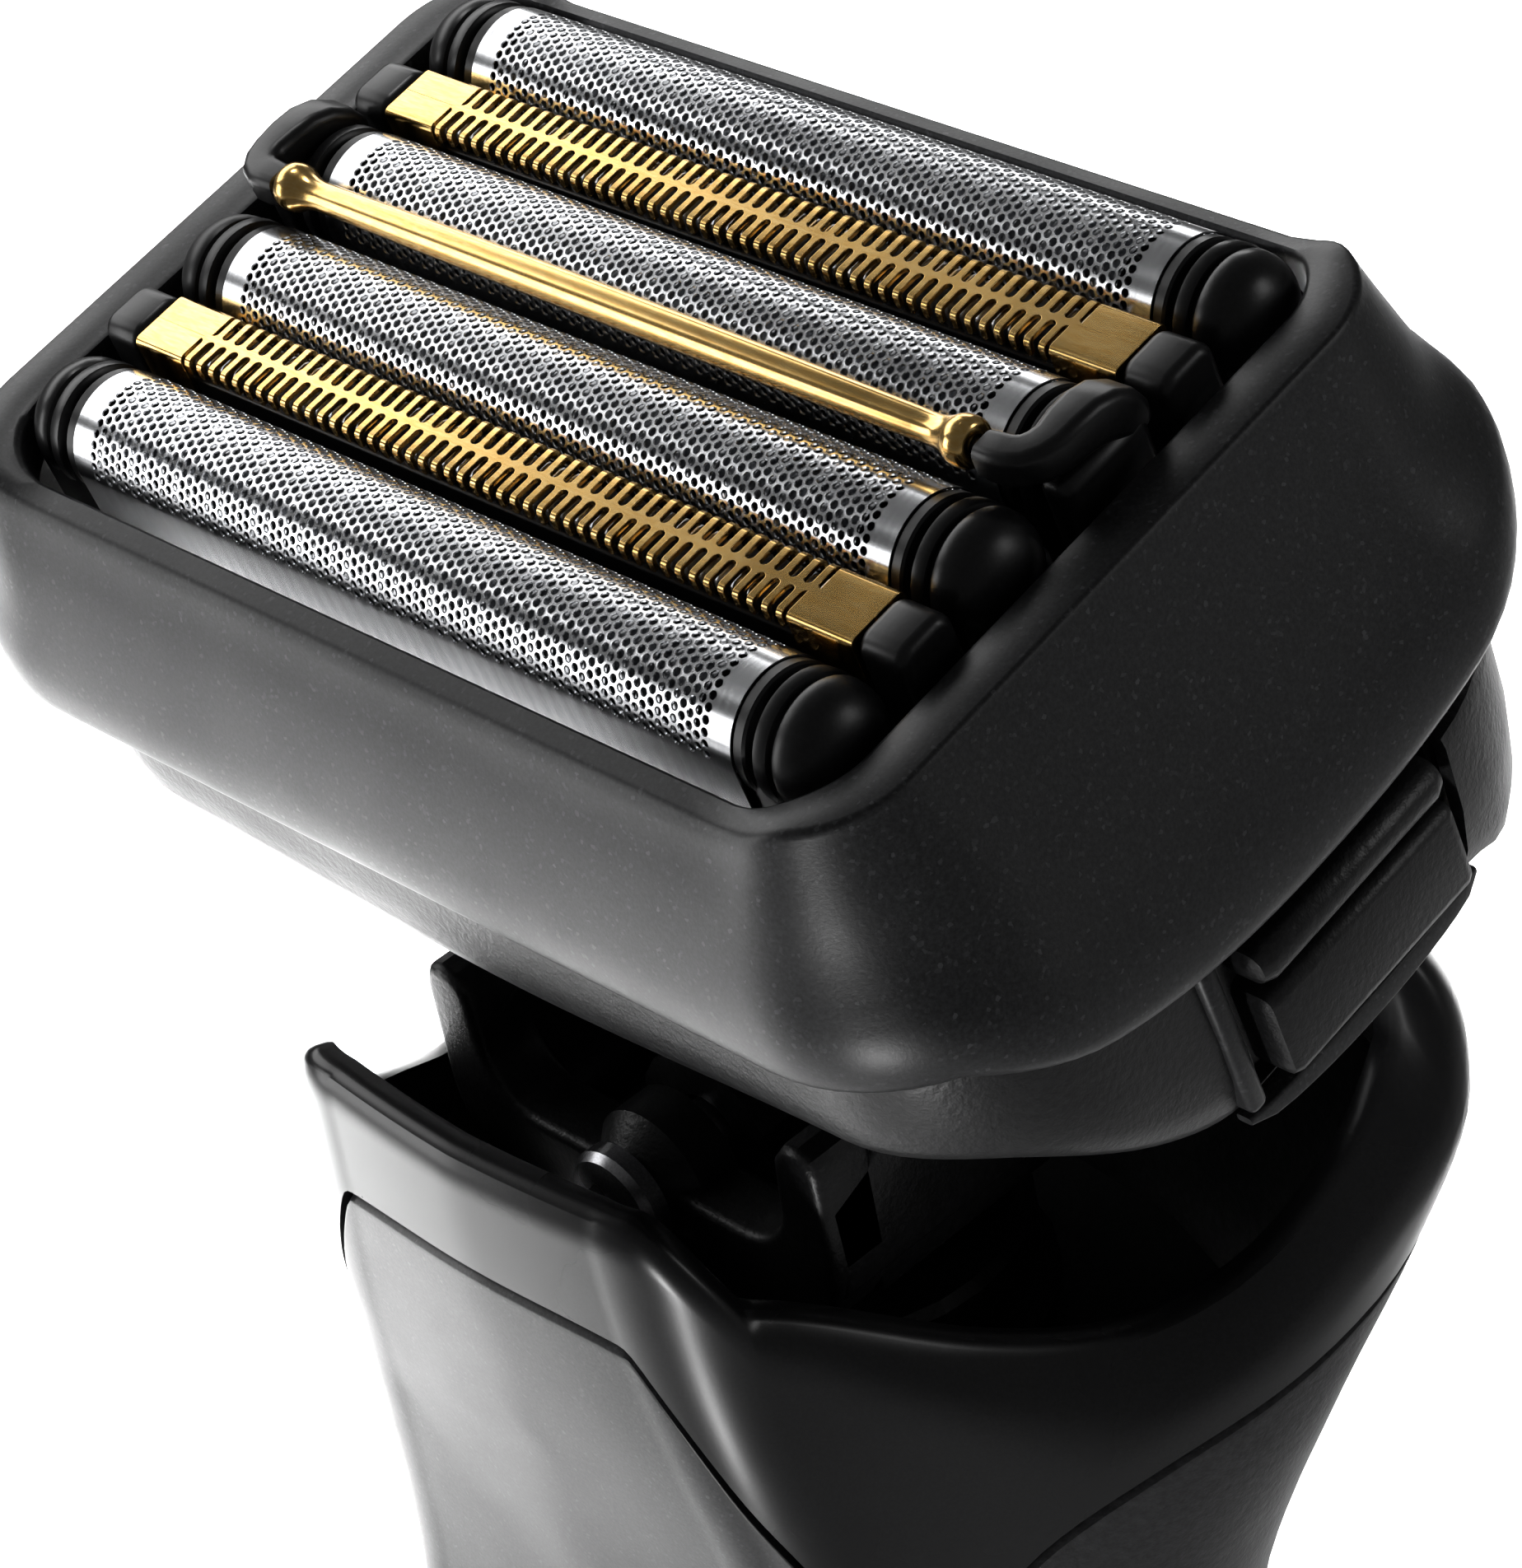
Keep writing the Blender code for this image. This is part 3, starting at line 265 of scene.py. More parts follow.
def rounded_outline(half_x, front, back, radius, rear_radius=None, steps=14, edge_steps=24, end_steps=30):
    """A head-shaped rounded rectangle, with the same number of points whatever its size."""
    rear = rear_radius or radius
    corners = ((half_x - radius, front + radius, radius, -90), (half_x - rear, back - rear, rear, 0),
               (rear - half_x, back - rear, rear, 90), (radius - half_x, front + radius, radius, 180))
    arcs = [arc((x, y), size, start, start + 90, steps) for x, y, size, start in corners]
    outline = []
    for index, (this, following) in enumerate(zip(arcs, arcs[1:] + arcs[:1])):
        outline += this
        count = end_steps if index % 2 else edge_steps
        outline += [tuple(Vector(this[-1]).lerp(Vector(following[0]), step / (count + 1)))
                    for step in range(1, count + 1)]
    return outline


def cut(made, tool, place):
    """Cuts a shape out of a finished piece, and leaves no helper behind."""
    helper = placed("tool", surface("tool", tool.points, tool.faces, place))
    change = made.modifiers.new("cut", "BOOLEAN")
    change.operation, change.solver, change.object = "DIFFERENCE", "EXACT", helper
    bpy.context.view_layer.update()
    graph = bpy.context.evaluated_depsgraph_get()
    made.data = bpy.data.meshes.new_from_object(made.evaluated_get(graph), depsgraph=graph)
    made.modifiers.clear()
    bpy.data.objects.remove(helper)
    made.data.shade_smooth()
    made.data.set_sharp_from_angle(angle=math.radians(35))


# Materials

def link(tree, source, output, target, socket):
    tree.links.new(source.outputs[output], target.inputs[socket])


def add(tree, kind, **inputs):
    node = tree.nodes.new(kind)
    for name, value in inputs.items():
        node.inputs[name.replace("_", " ")].default_value = value
    return node


def spread(tree, source, output, low, high, to_low, to_high):
    """Maps a value's range to another range."""
    node = add(tree, "ShaderNodeMapRange", From_Min=low, From_Max=high, To_Min=to_low, To_Max=to_high)
    link(tree, source, output, node, "Value")
    return node


TINT_FACTOR, TINT_DARK, TINT_LIGHT, TINT_RESULT = 0, 6, 7, 2  # a colour mix's sockets
FLAKE_COLOUR = (0.42, 0.43, 0.45)


def tint(tree, source, output, dark, light):
    node = tree.nodes.new("ShaderNodeMix")
    node.data_type = "RGBA"
    node.inputs[TINT_DARK].default_value = (*dark, 1.0)
    node.inputs[TINT_LIGHT].default_value = (*light, 1.0)
    link(tree, source, output, node, TINT_FACTOR)
    return node


def material(dark, light, roughness, metallic=0.0, grain=0.12, depth=0.01, strength=0.5, specks=0.0, coat=0.0,
             wear=0.06, stretch=(1, 1, 1)):
    """A moulded or ground surface. grain is the size of its texture and depth its height, in millimetres;
    specks lets fine flakes catch the light; wear varies the gloss slowly over the surface."""
    made = bpy.data.materials.new("surface")
    made.use_nodes = True
    tree = made.node_tree
    shader = tree.nodes["Principled BSDF"]
    shader.inputs["Metallic"].default_value = metallic
    shader.inputs["Coat Weight"].default_value = coat
    shader.inputs["Coat Roughness"].default_value = 0.12
    coords = tree.nodes.new("ShaderNodeTexCoord")
    mapping = add(tree, "ShaderNodeMapping", Scale=stretch)
    link(tree, coords, "Object", mapping, "Vector")
    fine = add(tree, "ShaderNodeTexNoise", Scale=1000 / grain, Detail=2.5, Roughness=0.65)
    link(tree, mapping, "Vector", fine, "Vector")
    slow = add(tree, "ShaderNodeTexNoise", Scale=90.0, Detail=3.0, Roughness=0.6)
    link(tree, coords, "Object", slow, "Vector")
    contrast = spread(tree, fine, "Fac", 0.36, 0.68, 0.0, 1.0)
    colour = tint(tree, contrast, "Result", dark, light)
    if specks:
        flakes = add(tree, "ShaderNodeTexVoronoi", Scale=1000 / (grain * 0.9))
        link(tree, coords, "Object", flakes, "Vector")
        chosen = spread(tree, flakes, "Color", 0.80, 1.0, 0.0, specks)
        brighter = tint(tree, chosen, "Result", dark, FLAKE_COLOUR)
        link(tree, colour, TINT_RESULT, brighter, TINT_DARK)
        colour = brighter
    link(tree, colour, TINT_RESULT, shader, "Base Color")
    gloss = spread(tree, slow, "Fac", 0.3, 0.7, roughness - wear, roughness + wear)
    link(tree, gloss, "Result", shader, "Roughness")
    bump = add(tree, "ShaderNodeBump", Strength=strength, Distance=depth * MM)
    link(tree, fine, "Fac", bump, "Height")
    link(tree, bump, "Normal", shader, "Normal")
    return made


MATERIALS = {
    "frame_plastic": material((0.010, 0.0103, 0.0112), (0.028, 0.0285, 0.0305), 0.42, grain=0.16, depth=0.012,
                              strength=0.55, specks=0.16),
    "base_plastic": material((0.006, 0.006, 0.0065), (0.013, 0.013, 0.014), 0.40, grain=0.34, depth=0.05,
                             strength=0.7),
    "cap_plastic": material((0.005, 0.005, 0.0055), (0.010, 0.010, 0.011), 0.36, grain=0.20, depth=0.008,
                            strength=0.4),
    "foil_steel": material((0.70, 0.71, 0.73), (0.86, 0.87, 0.89), 0.20, 1.0, grain=0.10, depth=0.0015,
                           strength=0.3, wear=0.04, stretch=(1, 0.1, 0.1)),
    "blade_gold": material((0.92, 0.56, 0.17), (1.0, 0.68, 0.27), 0.19, 1.0, grain=0.12, depth=0.001,
                           strength=0.25, wear=0.04, stretch=(0.15, 1, 1)),
    "cutter_steel": material((0.45, 0.46, 0.48), (0.62, 0.63, 0.65), 0.28, 1.0, grain=0.08, depth=0.002,
                             strength=0.3),
    "collar_gloss": material((0.006, 0.006, 0.0065), (0.011, 0.011, 0.012), 0.27, grain=0.14, depth=0.004,
                             strength=0.3, wear=0.03),
    "panel_matte": material((0.012, 0.012, 0.0133), (0.030, 0.030, 0.032), 0.38, grain=0.15, specks=0.10),
    "grip_rubber": material((0.010, 0.010, 0.011), (0.024, 0.024, 0.026), 0.55, grain=0.42, depth=0.06,
                            strength=0.8),
    "inner_plastic": material((0.04, 0.04, 0.043), (0.06, 0.06, 0.064), 0.5, grain=0.3),
    "bright_metal": material((0.42, 0.42, 0.44), (0.60, 0.60, 0.62), 0.30, 1.0, grain=0.1, depth=0.002),
    "coil_copper": material((0.55, 0.22, 0.09), (0.80, 0.36, 0.16), 0.35, 1.0, grain=0.25, depth=0.03,
                            stretch=(0.2, 1, 1)),
    "circuit_green": material((0.015, 0.12, 0.05), (0.03, 0.20, 0.09), 0.4, grain=0.6),
    "battery_wrap": material((0.03, 0.10, 0.26), (0.05, 0.16, 0.36), 0.35, grain=0.5),
    "seal_rubber": material((0.008, 0.008, 0.008), (0.015, 0.015, 0.015), 0.7, grain=0.3),
    "smoked_lens": material((0.004, 0.004, 0.006), (0.006, 0.006, 0.009), 0.06, grain=1.0, depth=0.0005,
                            wear=0.02, coat=0.5),
    "ring_metal": material((0.30, 0.30, 0.32), (0.45, 0.45, 0.47), 0.26, 1.0, grain=0.08, depth=0.002,
                           stretch=(1, 1, 0.1)),
}
for slot_name, made_material in MATERIALS.items():
    made_material.name = slot_name
NODE_SLOTS = {part["node"]: part["material_slot"] for part in frame["record"]["subparts"]}
for node_name, node in frame["nodes"].items():
    node.data.materials.clear()
    node.data.materials.append(MATERIALS[NODE_SLOTS[node_name]])


# Cutting elements, in the head's frame

FOIL_RADIUS, FOIL_HALF_LENGTH, FOIL_SHEET, FOIL_LEG = 2.43, 17.6, 0.07, 3.6
OUTER_FOIL, INNER_FOIL = (10.96, -1.90), (2.82, -1.63)
HOLE_PITCH, HOLE_RADIUS, HOLE_FLARE = 0.43, 0.150, 0.168
HOLE_COLUMNS, HOLE_ROWS = 89, 8  # along the foil, and to each side of its crest


def foil(number, y, z, body):
    """A sheet arched over its axis and etched with a honeycomb of flared holes."""
    column_pitch = HOLE_PITCH * math.sqrt(3) / 2
    corner = HOLE_PITCH / math.sqrt(3)
    first = -column_pitch * (HOLE_COLUMNS - 1) / 2
    arch_end = math.pi / 2 * FOIL_RADIUS
    points, known, faces = [], {}, []

    def spot(u, s, depth):
        """The point at u along the foil and s round its arch."""
        key = (round(u, 3), round(s, 3), depth > 0)
        if key not in known:
            radius = FOIL_RADIUS - depth
            if abs(s) <= arch_end:
                turn = s / FOIL_RADIUS
                place = (u, y + radius * math.sin(turn), z + radius * math.cos(turn))
            else:
                place = (u, y + math.copysign(radius, s), z - (abs(s) - arch_end))
            known[key] = len(points)
            points.append(place)
        return known[key]

    def ring(u, s, radius, depth):
        """Twelve points round a hole, drawn out a little towards the cell's corners."""
        turns = [(1.0 + 0.05 * (1 - k % 2), math.radians(30 * k)) for k in range(12)]
        return [spot(u + radius * reach * math.cos(turn), s + radius * reach * math.sin(turn), depth)
                for reach, turn in turns]

    def strip(line, other, forward):
        """Faces between two lines on the outside, and their twins on the inside."""
        for quad in zip(line, line[1:], other[1:], other):
            quad = quad if forward else quad[::-1]
            faces.append(tuple(spot(u, s, 0) for u, s in quad))
            faces.append(tuple(spot(u, s, FOIL_SHEET) for u, s in reversed(quad)))

    for column in range(HOLE_COLUMNS):
        centre_u = first + column * column_pitch
        odd = column % 2
        for row in range(-HOLE_ROWS, HOLE_ROWS + 1 - odd):
            centre_s = (row + 0.5 * odd) * HOLE_PITCH
            corners = [(centre_u + corner * math.cos(math.radians(60 * k)),
                        centre_s + corner * math.sin(math.radians(60 * k))) for k in range(6)]
            outside = ring(centre_u, centre_s, HOLE_FLARE, 0.0)
            inside = ring(centre_u, centre_s, HOLE_RADIUS, FOIL_SHEET)
            for k in range(6):
                a, b = corners[k], corners[(k + 1) % 6]
                near, middle, far = 2 * k, 2 * k + 1, (2 * k + 2) % 12
                faces.append((spot(*a, 0), spot(*b, 0), outside[far], outside[middle], outside[near]))
                faces.append((spot(*b, FOIL_SHEET), spot(*a, FOIL_SHEET), inside[near], inside[middle],
                              inside[far]))
            for k in range(12):
                n = (k + 1) % 12
                faces.append((outside[k], outside[n], inside[n], inside[k]))

    # Margins beyond the first and last columns, which are even ones
    top_s = (HOLE_ROWS + 0.5) * HOLE_PITCH
    near_u, far_u = -first + corner / 2, -first + corner
    for side in (-1, 1):
        line = []
        for row in range(-HOLE_ROWS, HOLE_ROWS + 1):
            line += [(side * near_u, (row - 0.5) * HOLE_PITCH), (side * far_u, row * HOLE_PITCH)]
        line.append((side * near_u, top_s))
        strip(line, [(side * FOIL_HALF_LENGTH, s) for u, s in line], side < 0)
    # Skirts beyond the last rows, down the straight legs
    for side in (-1, 1):
        line = [(-FOIL_HALF_LENGTH, side * top_s)]
        for column in range(HOLE_COLUMNS):
            centre_u = first + column * column_pitch
            s = side * (top_s - HOLE_PITCH / 2 * (column % 2))
            line += [(centre_u - corner / 2, s), (centre_u + corner / 2, s)]
        line.append((FOIL_HALF_LENGTH, side * top_s))
        for level in (arch_end, arch_end + FOIL_LEG):
            below = [(u, side * level) for u, s in line]
            strip(line, below, side > 0)
            line = below
    # The sheet's own edge
    shape = bmesh.new()
    made = [shape.verts.new(point) for point in points]
    for face in faces:
        shape.faces.new([made[i] for i in face])
    bmesh.ops.bridge_loops(shape, edges=[edge for edge in shape.edges if edge.is_boundary])
    shape.verts.index_update()
    points = [tuple(vertex.co) for vertex in shape.verts]
    faces = [tuple(vertex.index for vertex in face.verts) for face in shape.faces]
    shape.free()
    piece(f"foil_sheet_{number}", points, faces, "foil_steel", body, nodes=[f"foil_{number}"], sharp=30)


# The two stems under each cutter: their stretches along it, and the height of their feet
STEMS, STEM_FOOT = ((-3.0, -0.9), (0.9, 3.0)), -8.9


def inner_blades(number, y, z, body):
    """A stack of slanting arched blades on a carrier, close under the foil."""
    shape = Shape()
    radius, height, foot, half_thick = FOIL_RADIUS - 0.16, 0.75, -0.9, 0.12
    half, count, slant = 15.9, 37, 0.275
    outline = arc((0, 0), radius, 0, 180, 22) + [(-radius, foot), (height - radius, foot)] \
        + arc((0, 0), radius - height, 180, 0, 12) + [(radius - height, foot), (radius, foot)]
    for x in between(-half, half, count - 1):
        shape.loft([[(x + step + slant * a / radius, y + a, z + b) for a, b in outline]
                    for step in (-half_thick, half_thick)])
    core = radius - 0.7
    shape.prism([(y + a, z + b) for a, b in arc((0, 0), core, 0, 180, 12) + [(-core, -1.5), (core, -1.5)]],
                -half - 0.3, half + 0.3, "X", 0.1)
    for low, high in STEMS:
        block(shape, (low, y - 1.0, STEM_FOOT), (high, y + 1.0, z - 1.2), 0.3)
    shape.make(f"inner_blades_{number}", "cutter_steel", body, nodes=[f"inner_cutter_{number}"])


# A foil's end cap, as (radius, distance out from the foil's end)
CAP_RINGS = [(0, 0), (2.28, 0), (2.36, 0.06), (2.38, 0.45), (2.30, 0.55), (1.98, 0.60), (1.96, 0.85),
             (2.30, 0.92), (2.40, 1.00), (2.42, 1.40), (2.34, 1.52)]
CAP_KNOB = [(2.12, 1.56), (2.12, 1.72), (2.30, 1.80), (2.36, 1.95), (2.33, 2.30), (2.22, 2.65), (2.00, 2.98),
            (1.66, 3.26), (1.20, 3.46), (0.60, 3.56), (0, 3.58)]
CAP_PLAIN_END = [(0, 1.54)]


def foil_caps(number, y, z, body, knob=True):
    """The ringed end caps of a foil, with the rails between them."""
    shape = Shape()
    start = FOIL_HALF_LENGTH + 0.02
    profile = CAP_RINGS + (CAP_KNOB if knob else CAP_PLAIN_END)
    for side in (-1, 1):
        shape.turned([(radius, side * (start + out)) for radius, out in profile], (0, y, z), "X", 48)
        low, high = across(side, start + 0.05, start + (3.0 if knob else 1.5))
        block(shape, (low, y - 2.25, z - 5.7), (high, y + 2.25, z - 0.05), 0.5, "X", 0.35)
    for side in (-1, 1):
        low, high = across(side, 1.5, 2.2)
        block(shape, (-start - 0.5, y + low, z - 5.6), (start + 0.5, y + high, z - 3.9), 0.15, "X", 0.1)
    shape.make(f"foil_caps_{number}", "cap_plastic", body, nodes=[f"foil_holder_{number}"], sharp=40)


SLIT_Y, SLIT_HALF_WIDTH, SLIT_PITCH, SLITS, SLIT_PLATE_END = 6.88, 1.36, 0.70, 46, 19.0
SLIT_GAP, SLIT_SHEET, SLIT_BEND, RIB_END, PLATE_FOOT, SPINE = 0.20, 0.20, 0.30, 0.72, 1.9, 0.13
HOLDER_END = 21.2


def slit_blade(number, y, body):
    """A folded gold sheet: a spine whose ribs reach out and turn down at both edges, and two end plates."""
    flat = SLIT_HALF_WIDTH - SLIT_BEND
    turn_length = SLIT_BEND * math.pi / 2
    rib_end = flat + turn_length + RIB_END - SLIT_BEND
    plate_end = flat + turn_length + PLATE_FOOT - SLIT_BEND
    rib = SLIT_PITCH / 2 - SLIT_GAP

    def section(s):
        """From the distance over the section to its place across the blade."""
        side, s = math.copysign(1.0, s), abs(s)
        if s <= flat:
            return side * s, 0.0
        if s <= flat + turn_length:
            turn = (s - flat) / SLIT_BEND
            return side * (flat + SLIT_BEND * math.sin(turn)), SLIT_BEND * (math.cos(turn) - 1)
        return side * SLIT_HALF_WIDTH, -SLIT_BEND - (s - flat - turn_length)

    def opening(s):
        """Half the slit's width. The slit is round at the spine and leaves the ribs round at their tips."""
        if s <= SPINE:
            return 0.0
        root = 1 - min((s - SPINE) / SLIT_GAP, 1.0)
        tip = 1 - min(max((rib_end - s) / rib, 0.0), 1.0)
        return SLIT_GAP * math.sqrt(1 - root ** 2) + rib * (1 - math.sqrt(max(1 - tip ** 2, 0.0))) * 0.94

    rib_levels = [SPINE + SLIT_GAP * (1 - math.cos(math.radians(angle))) for angle in (0, 30, 60, 90)]
    rib_levels += [0.66, flat]
    rib_levels += [flat + turn_length * k / 5 for k in range(1, 6)]
    rib_levels += [rib_end - rib * (1 - math.cos(math.radians(angle))) for angle in (90, 60, 35, 0)]
    plate_levels = [0.0] + rib_levels + [plate_end]
    half_span = SLITS * SLIT_PITCH / 2
    points, known, faces = [], {}, []

    def spot(x, s):
        key = (round(x, 4), round(s, 4))
        if key not in known:
            out, height = section(s)
            known[key] = len(points)
            points.append((x, y + out, height))
        return known[key]

    def quad(side, low, high, ends_low, ends_high):
        """A face from one level over the section to the next, on one side of the spine."""
        corners = [spot(x, side * low) for x in ends_low]
        corners += [spot(x, side * high) for x in reversed(ends_high)]
        if len(set(corners)) == 4:
            faces.append(tuple(corners if side > 0 else corners[::-1]))

    for side in (-1, 1):
        shift = SLIT_PITCH / 4 * side
        for index in range(SLITS):
            left = -half_span + index * SLIT_PITCH + shift
            centre, right = left + SLIT_PITCH / 2, left + SLIT_PITCH
            quad(side, 0.0, SPINE, (left, centre), (left, centre))
            quad(side, 0.0, SPINE, (centre, right), (centre, right))
            for low, high in zip(rib_levels, rib_levels[1:]):
                gap_low, gap_high = opening(low), opening(high)
                quad(side, low, high, (left + gap_low, centre), (left + gap_high, centre))
                quad(side, low, high, (centre, right - gap_low), (centre, right - gap_high))
        for near, far in ((-SLIT_PLATE_END, -half_span + shift), (half_span + shift, SLIT_PLATE_END)):
            for low, high in zip(plate_levels, plate_levels[1:]):
                quad(side, low, high, (near, far), (near, far))
    piece(f"slit_sheet_{number}", points, faces, "blade_gold", body, nodes=[f"slit_blade_{number}"],
          wall=SLIT_SHEET, bevel=(0.055, 3, 50), sharp=30)


def slit_ends(number, y, body):
    """The holder's rounded ends beyond the slit blade, with the rails between them."""
    shape = Shape()
    half, top, radius = 1.33, 0.1, 0.75
    outline = [(y - half, -7.2), (y + half, -7.2)] \
        + arc((y + half - radius, top - radius), radius, 0, 90, 6) \
        + arc((y - half + radius, top - radius), radius, 90, 180, 6)
    for side in (-1, 1):
        low, high = across(side, SLIT_PLATE_END + 0.03, HOLDER_END)
        shape.prism(outline, low, high, "X", 0.4, 4)
    for side in (-1, 1):
        low, high = across(side, 0.85, 1.12)
        block(shape, (-19.4, y + low, -7.3), (19.4, y + high, -1.25), 0.12, "X", 0.1)
    shape.make(f"slit_ends_{number}", "cap_plastic", body, nodes=[f"slit_holder_{number}"], sharp=40)


def slit_cutter(number, y, body):
    """The toothed bar that shears under the slits."""
    shape = Shape()
    shape.prism([(y - 0.5, -2.6), (y + 0.5, -2.6), (y + 0.5, -1.2), (y - 0.5, -1.2)], -17.0, 17.0, "X", 0.1)
    for x in between(-16.8, 16.8, 43):
        block(shape, (x - 0.14, y - 0.98, -1.5), (x + 0.14, y + 0.98, -0.30), 0.25, "X", 0.04, 2)
    for low, high in STEMS:
        block(shape, (low, y - 0.45, STEM_FOOT), (high, y + 0.45, -2.3), 0.15)
    shape.make(f"slit_teeth_{number}", "cutter_steel", body, nodes=[f"slit_cutter_{number}"])


ROLLER_HALF, ROLLER_HEIGHT, ROLLER_WAIST = 18.0, 1.17, 0.585
# The roller's end, as (radius, distance in from its face)
ROLLER_END = [(0.40, 0), (0.66, 0), (0.80, 0.05), (0.90, 0.18), (0.94, 0.38), (0.94, 0.62), (0.90, 0.82),
              (0.80, 1.02), (0.68, 1.30), (0.60, 1.65), (0.57, 2.1), (ROLLER_WAIST, 2.6)]
# An arm from the roller's end outwards, and back over the foil's cap: (place, half width, half height)
ROLLER_ARM = (((18.26, 0.0, 0.95), 0.50, 0.55), ((18.36, 0.0, 0.95), 0.66, 0.72),
              ((18.9, 0.0, 0.95), 0.70, 0.76), ((19.4, 0.04, 0.94), 0.72, 0.76),
              ((19.85, 0.25, 0.92), 0.74, 0.76),
              ((20.16, 0.66, 0.90), 0.76, 0.77), ((20.32, 1.2, 0.88), 0.78, 0.78),
              ((20.30, 2.0, 0.86), 0.86, 0.84), ((20.28, 2.8, 0.76), 0.90, 0.90),
              ((20.26, 3.5, 0.50), 0.92, 0.92), ((20.24, 4.05, 0.06), 0.90, 0.90),
              ((20.24, 4.4, -0.5), 0.82, 0.80), ((20.24, 4.6, -1.0), 0.66, 0.62))


def comfort_roller():
    """The slightly crowned roller, and the arms that hold it between the middle foils."""
    crown_end = ROLLER_HALF - 2.6
    profile = [(radius, ROLLER_HALF - back) for radius, back in ROLLER_END]
    profile += [(ROLLER_WAIST + 0.10 * (1 - (x / crown_end) ** 2), x)
                for x in between(crown_end - 1, 1 - crown_end, 30)]
    profile += [(radius, back - ROLLER_HALF) for radius, back in reversed(ROLLER_END)]
    Shape().turned(profile, (0, 0, ROLLER_HEIGHT), "X", 48, ring=True).make(
        "roller_barrel", "blade_gold", "roller", nodes=["comfort_roller"])
    for side, sign in SIDES:
        shape = Shape().sweep([((sign * x, y, z), wide, high) for (x, y, z), wide, high in ROLLER_ARM], 0.42)
        for near, far, low_y, low_z, high_y, high_z, look in (
                (19.62, 21.1, 0.4, -6.5, 4.75, -0.1, (0.6, "Y", 0.5, 5)),
                (19.0, 20.6, 1.2, -4.5, 4.6, 0.35, (0.6, "Y", 0.5, 5)),
                (18.9, 19.9, 0.5, -6.3, 4.6, -4.4, (0.3, "Y", 0.2))):
            low, high = across(sign, near, far)
            block(shape, (low, low_y, low_z), (high, high_y, high_z), *look)
        shape.make(f"roller_arm_{side}", "cap_plastic", "centre_unit", nodes=[f"roller_bracket_{side}"],
                   sharp=50)


# Head

def skirt_edge(x, y):
    """The height of the head frame's lower edge, which dips at the sides."""
    side = ease(abs(x), 19.0, 26.5)
    return -11.4 - 4.3 * side * (1 - min(abs((y - 1.0) / 16.0), 1.0) ** 2.4)


def base_edge(x, y):
    """The height of the head base's lower edge, a shallow smile in front and low at the sides."""
    side = ease(abs(x), 14.0, 24.0)
    back = ease(y, -14.0, 6.0)
    smile = 1.3 * (1 - ease(abs(x), 0.0, 20.0)) * (1 - back)
    return -18.2 - smile - 6.6 * side * ease(y, -16.0, -4.0) - 3.5 * back * (1 - side)


# Level rings of the head frame: half width, front, back and corner radius, then its own columns
LIP = (  # height along the front and the back, height at the two sides
    (21.95, -14.45, 14.15, 3.35, -3.60, -3.20), (21.85, -14.35, 14.05, 3.25, -2.05, -1.45),
    (21.92, -14.42, 14.12, 3.30, -1.82, -1.22), (22.15, -14.58, 14.22, 3.45, -1.70, -1.10),
    (23.90, -15.22, 14.72, 4.10, -1.86, -1.12), (24.02, -15.38, 14.88, 4.20, -1.94, -1.16),
    (24.10, -15.52, 15.02, 4.30, -2.08, -1.27),
)
WALL = (  # led by the share of the way down to the edge
    (0.00, 24.14, -15.66, 15.14, 4.5),
    (0.12, 24.60, -16.10, 15.50, 5.1),
    (0.25, 25.15, -16.62, 15.95, 5.9),
    (0.50, 26.25, -17.45, 16.75, 7.2),
    (0.75, 27.30, -18.10, 17.60, 7.4),
    (0.88, 27.58, -18.22, 17.72, 7.8),
    (0.94, 27.55, -18.15, 17.65, 7.9),
    (0.98, 27.32, -17.90, 17.40, 7.9),
    (1.00, 26.95, -17.50, 17.00, 7.7),
)
WALL_SHARES = (0.0, 0.03, 0.06, 0.12, 0.18, 0.25, 0.32, 0.40, 0.5, 0.6, 0.68, 0.75, 0.82, 0.88, 0.92, 0.95,
               0.975, 0.99, 1.0)
FRAME_INSIDE = (  # share of the way down
    (26.45, -17.0, 16.5, 7.5, 0.985), (26.30, -16.9, 16.4, 7.4, 0.9), (25.40, -16.2, 15.7, 6.6, 0.5),
    (23.90, -15.3, 14.8, 4.8, 0.15),
)
SKIRT_HALF = 27.2


def head_frame():
    def ring(half_x, front, back, corner, top_front, top_side, share):
        """A ring of the shell, some share of the way from its top to its lower edge."""
        loop = []
        for x, y in rounded_outline(half_x, front, back, corner):
            top = lerp(top_front, top_side, ease(abs(x), 18.6, 21.8))
            loop.append((x, y, lerp(top, skirt_edge(x * SKIRT_HALF / half_x, y), share)))
        return loop

    rows = [ring(*row, 0.0) for row in LIP]
    rows += [ring(*through(WALL, share), -2.30, -1.45, share) for share in WALL_SHARES]
    rows += [ring(*row, -2.6, -2.6, share) for *row, share in FRAME_INSIDE]
    Shape().loft(rows, wrap=True).make("head_shell", "frame_plastic", "head", nodes=["head_frame"], sharp=42)


# Level rings of the head base: half width, front, back, front and rear corner, share of the way down, lift
BASE_TOP, BASE_HALF = -9.6, 24.0
BASE_OUTSIDE = (
    (24.7, -15.4, 14.6, 6.0, 8.4, 0.0, 0.0), (25.2, -15.8, 15.0, 6.4, 8.8, 0.2, 0.0),
    (25.5, -16.1, 15.3, 6.7, 9.1, 0.45, 0.0), (25.6, -16.3, 15.4, 7.0, 9.2, 0.7, 0.0),
    (25.5, -16.25, 15.35, 7.0, 9.2, 0.84, 0.0), (25.2, -16.0, 15.2, 7.0, 9.2, 0.93, 0.0),
    (24.7, -15.6, 14.9, 6.9, 9.0, 0.98, 0.0), (24.0, -15.0, 14.4, 6.6, 8.6, 1.0, 0.0),
    (23.0, -14.5, 13.9, 6.2, 8.2, 0.995, 0.0), (20.5, -13.2, 12.6, 5.0, 7.0, 0.97, 0.0),
)
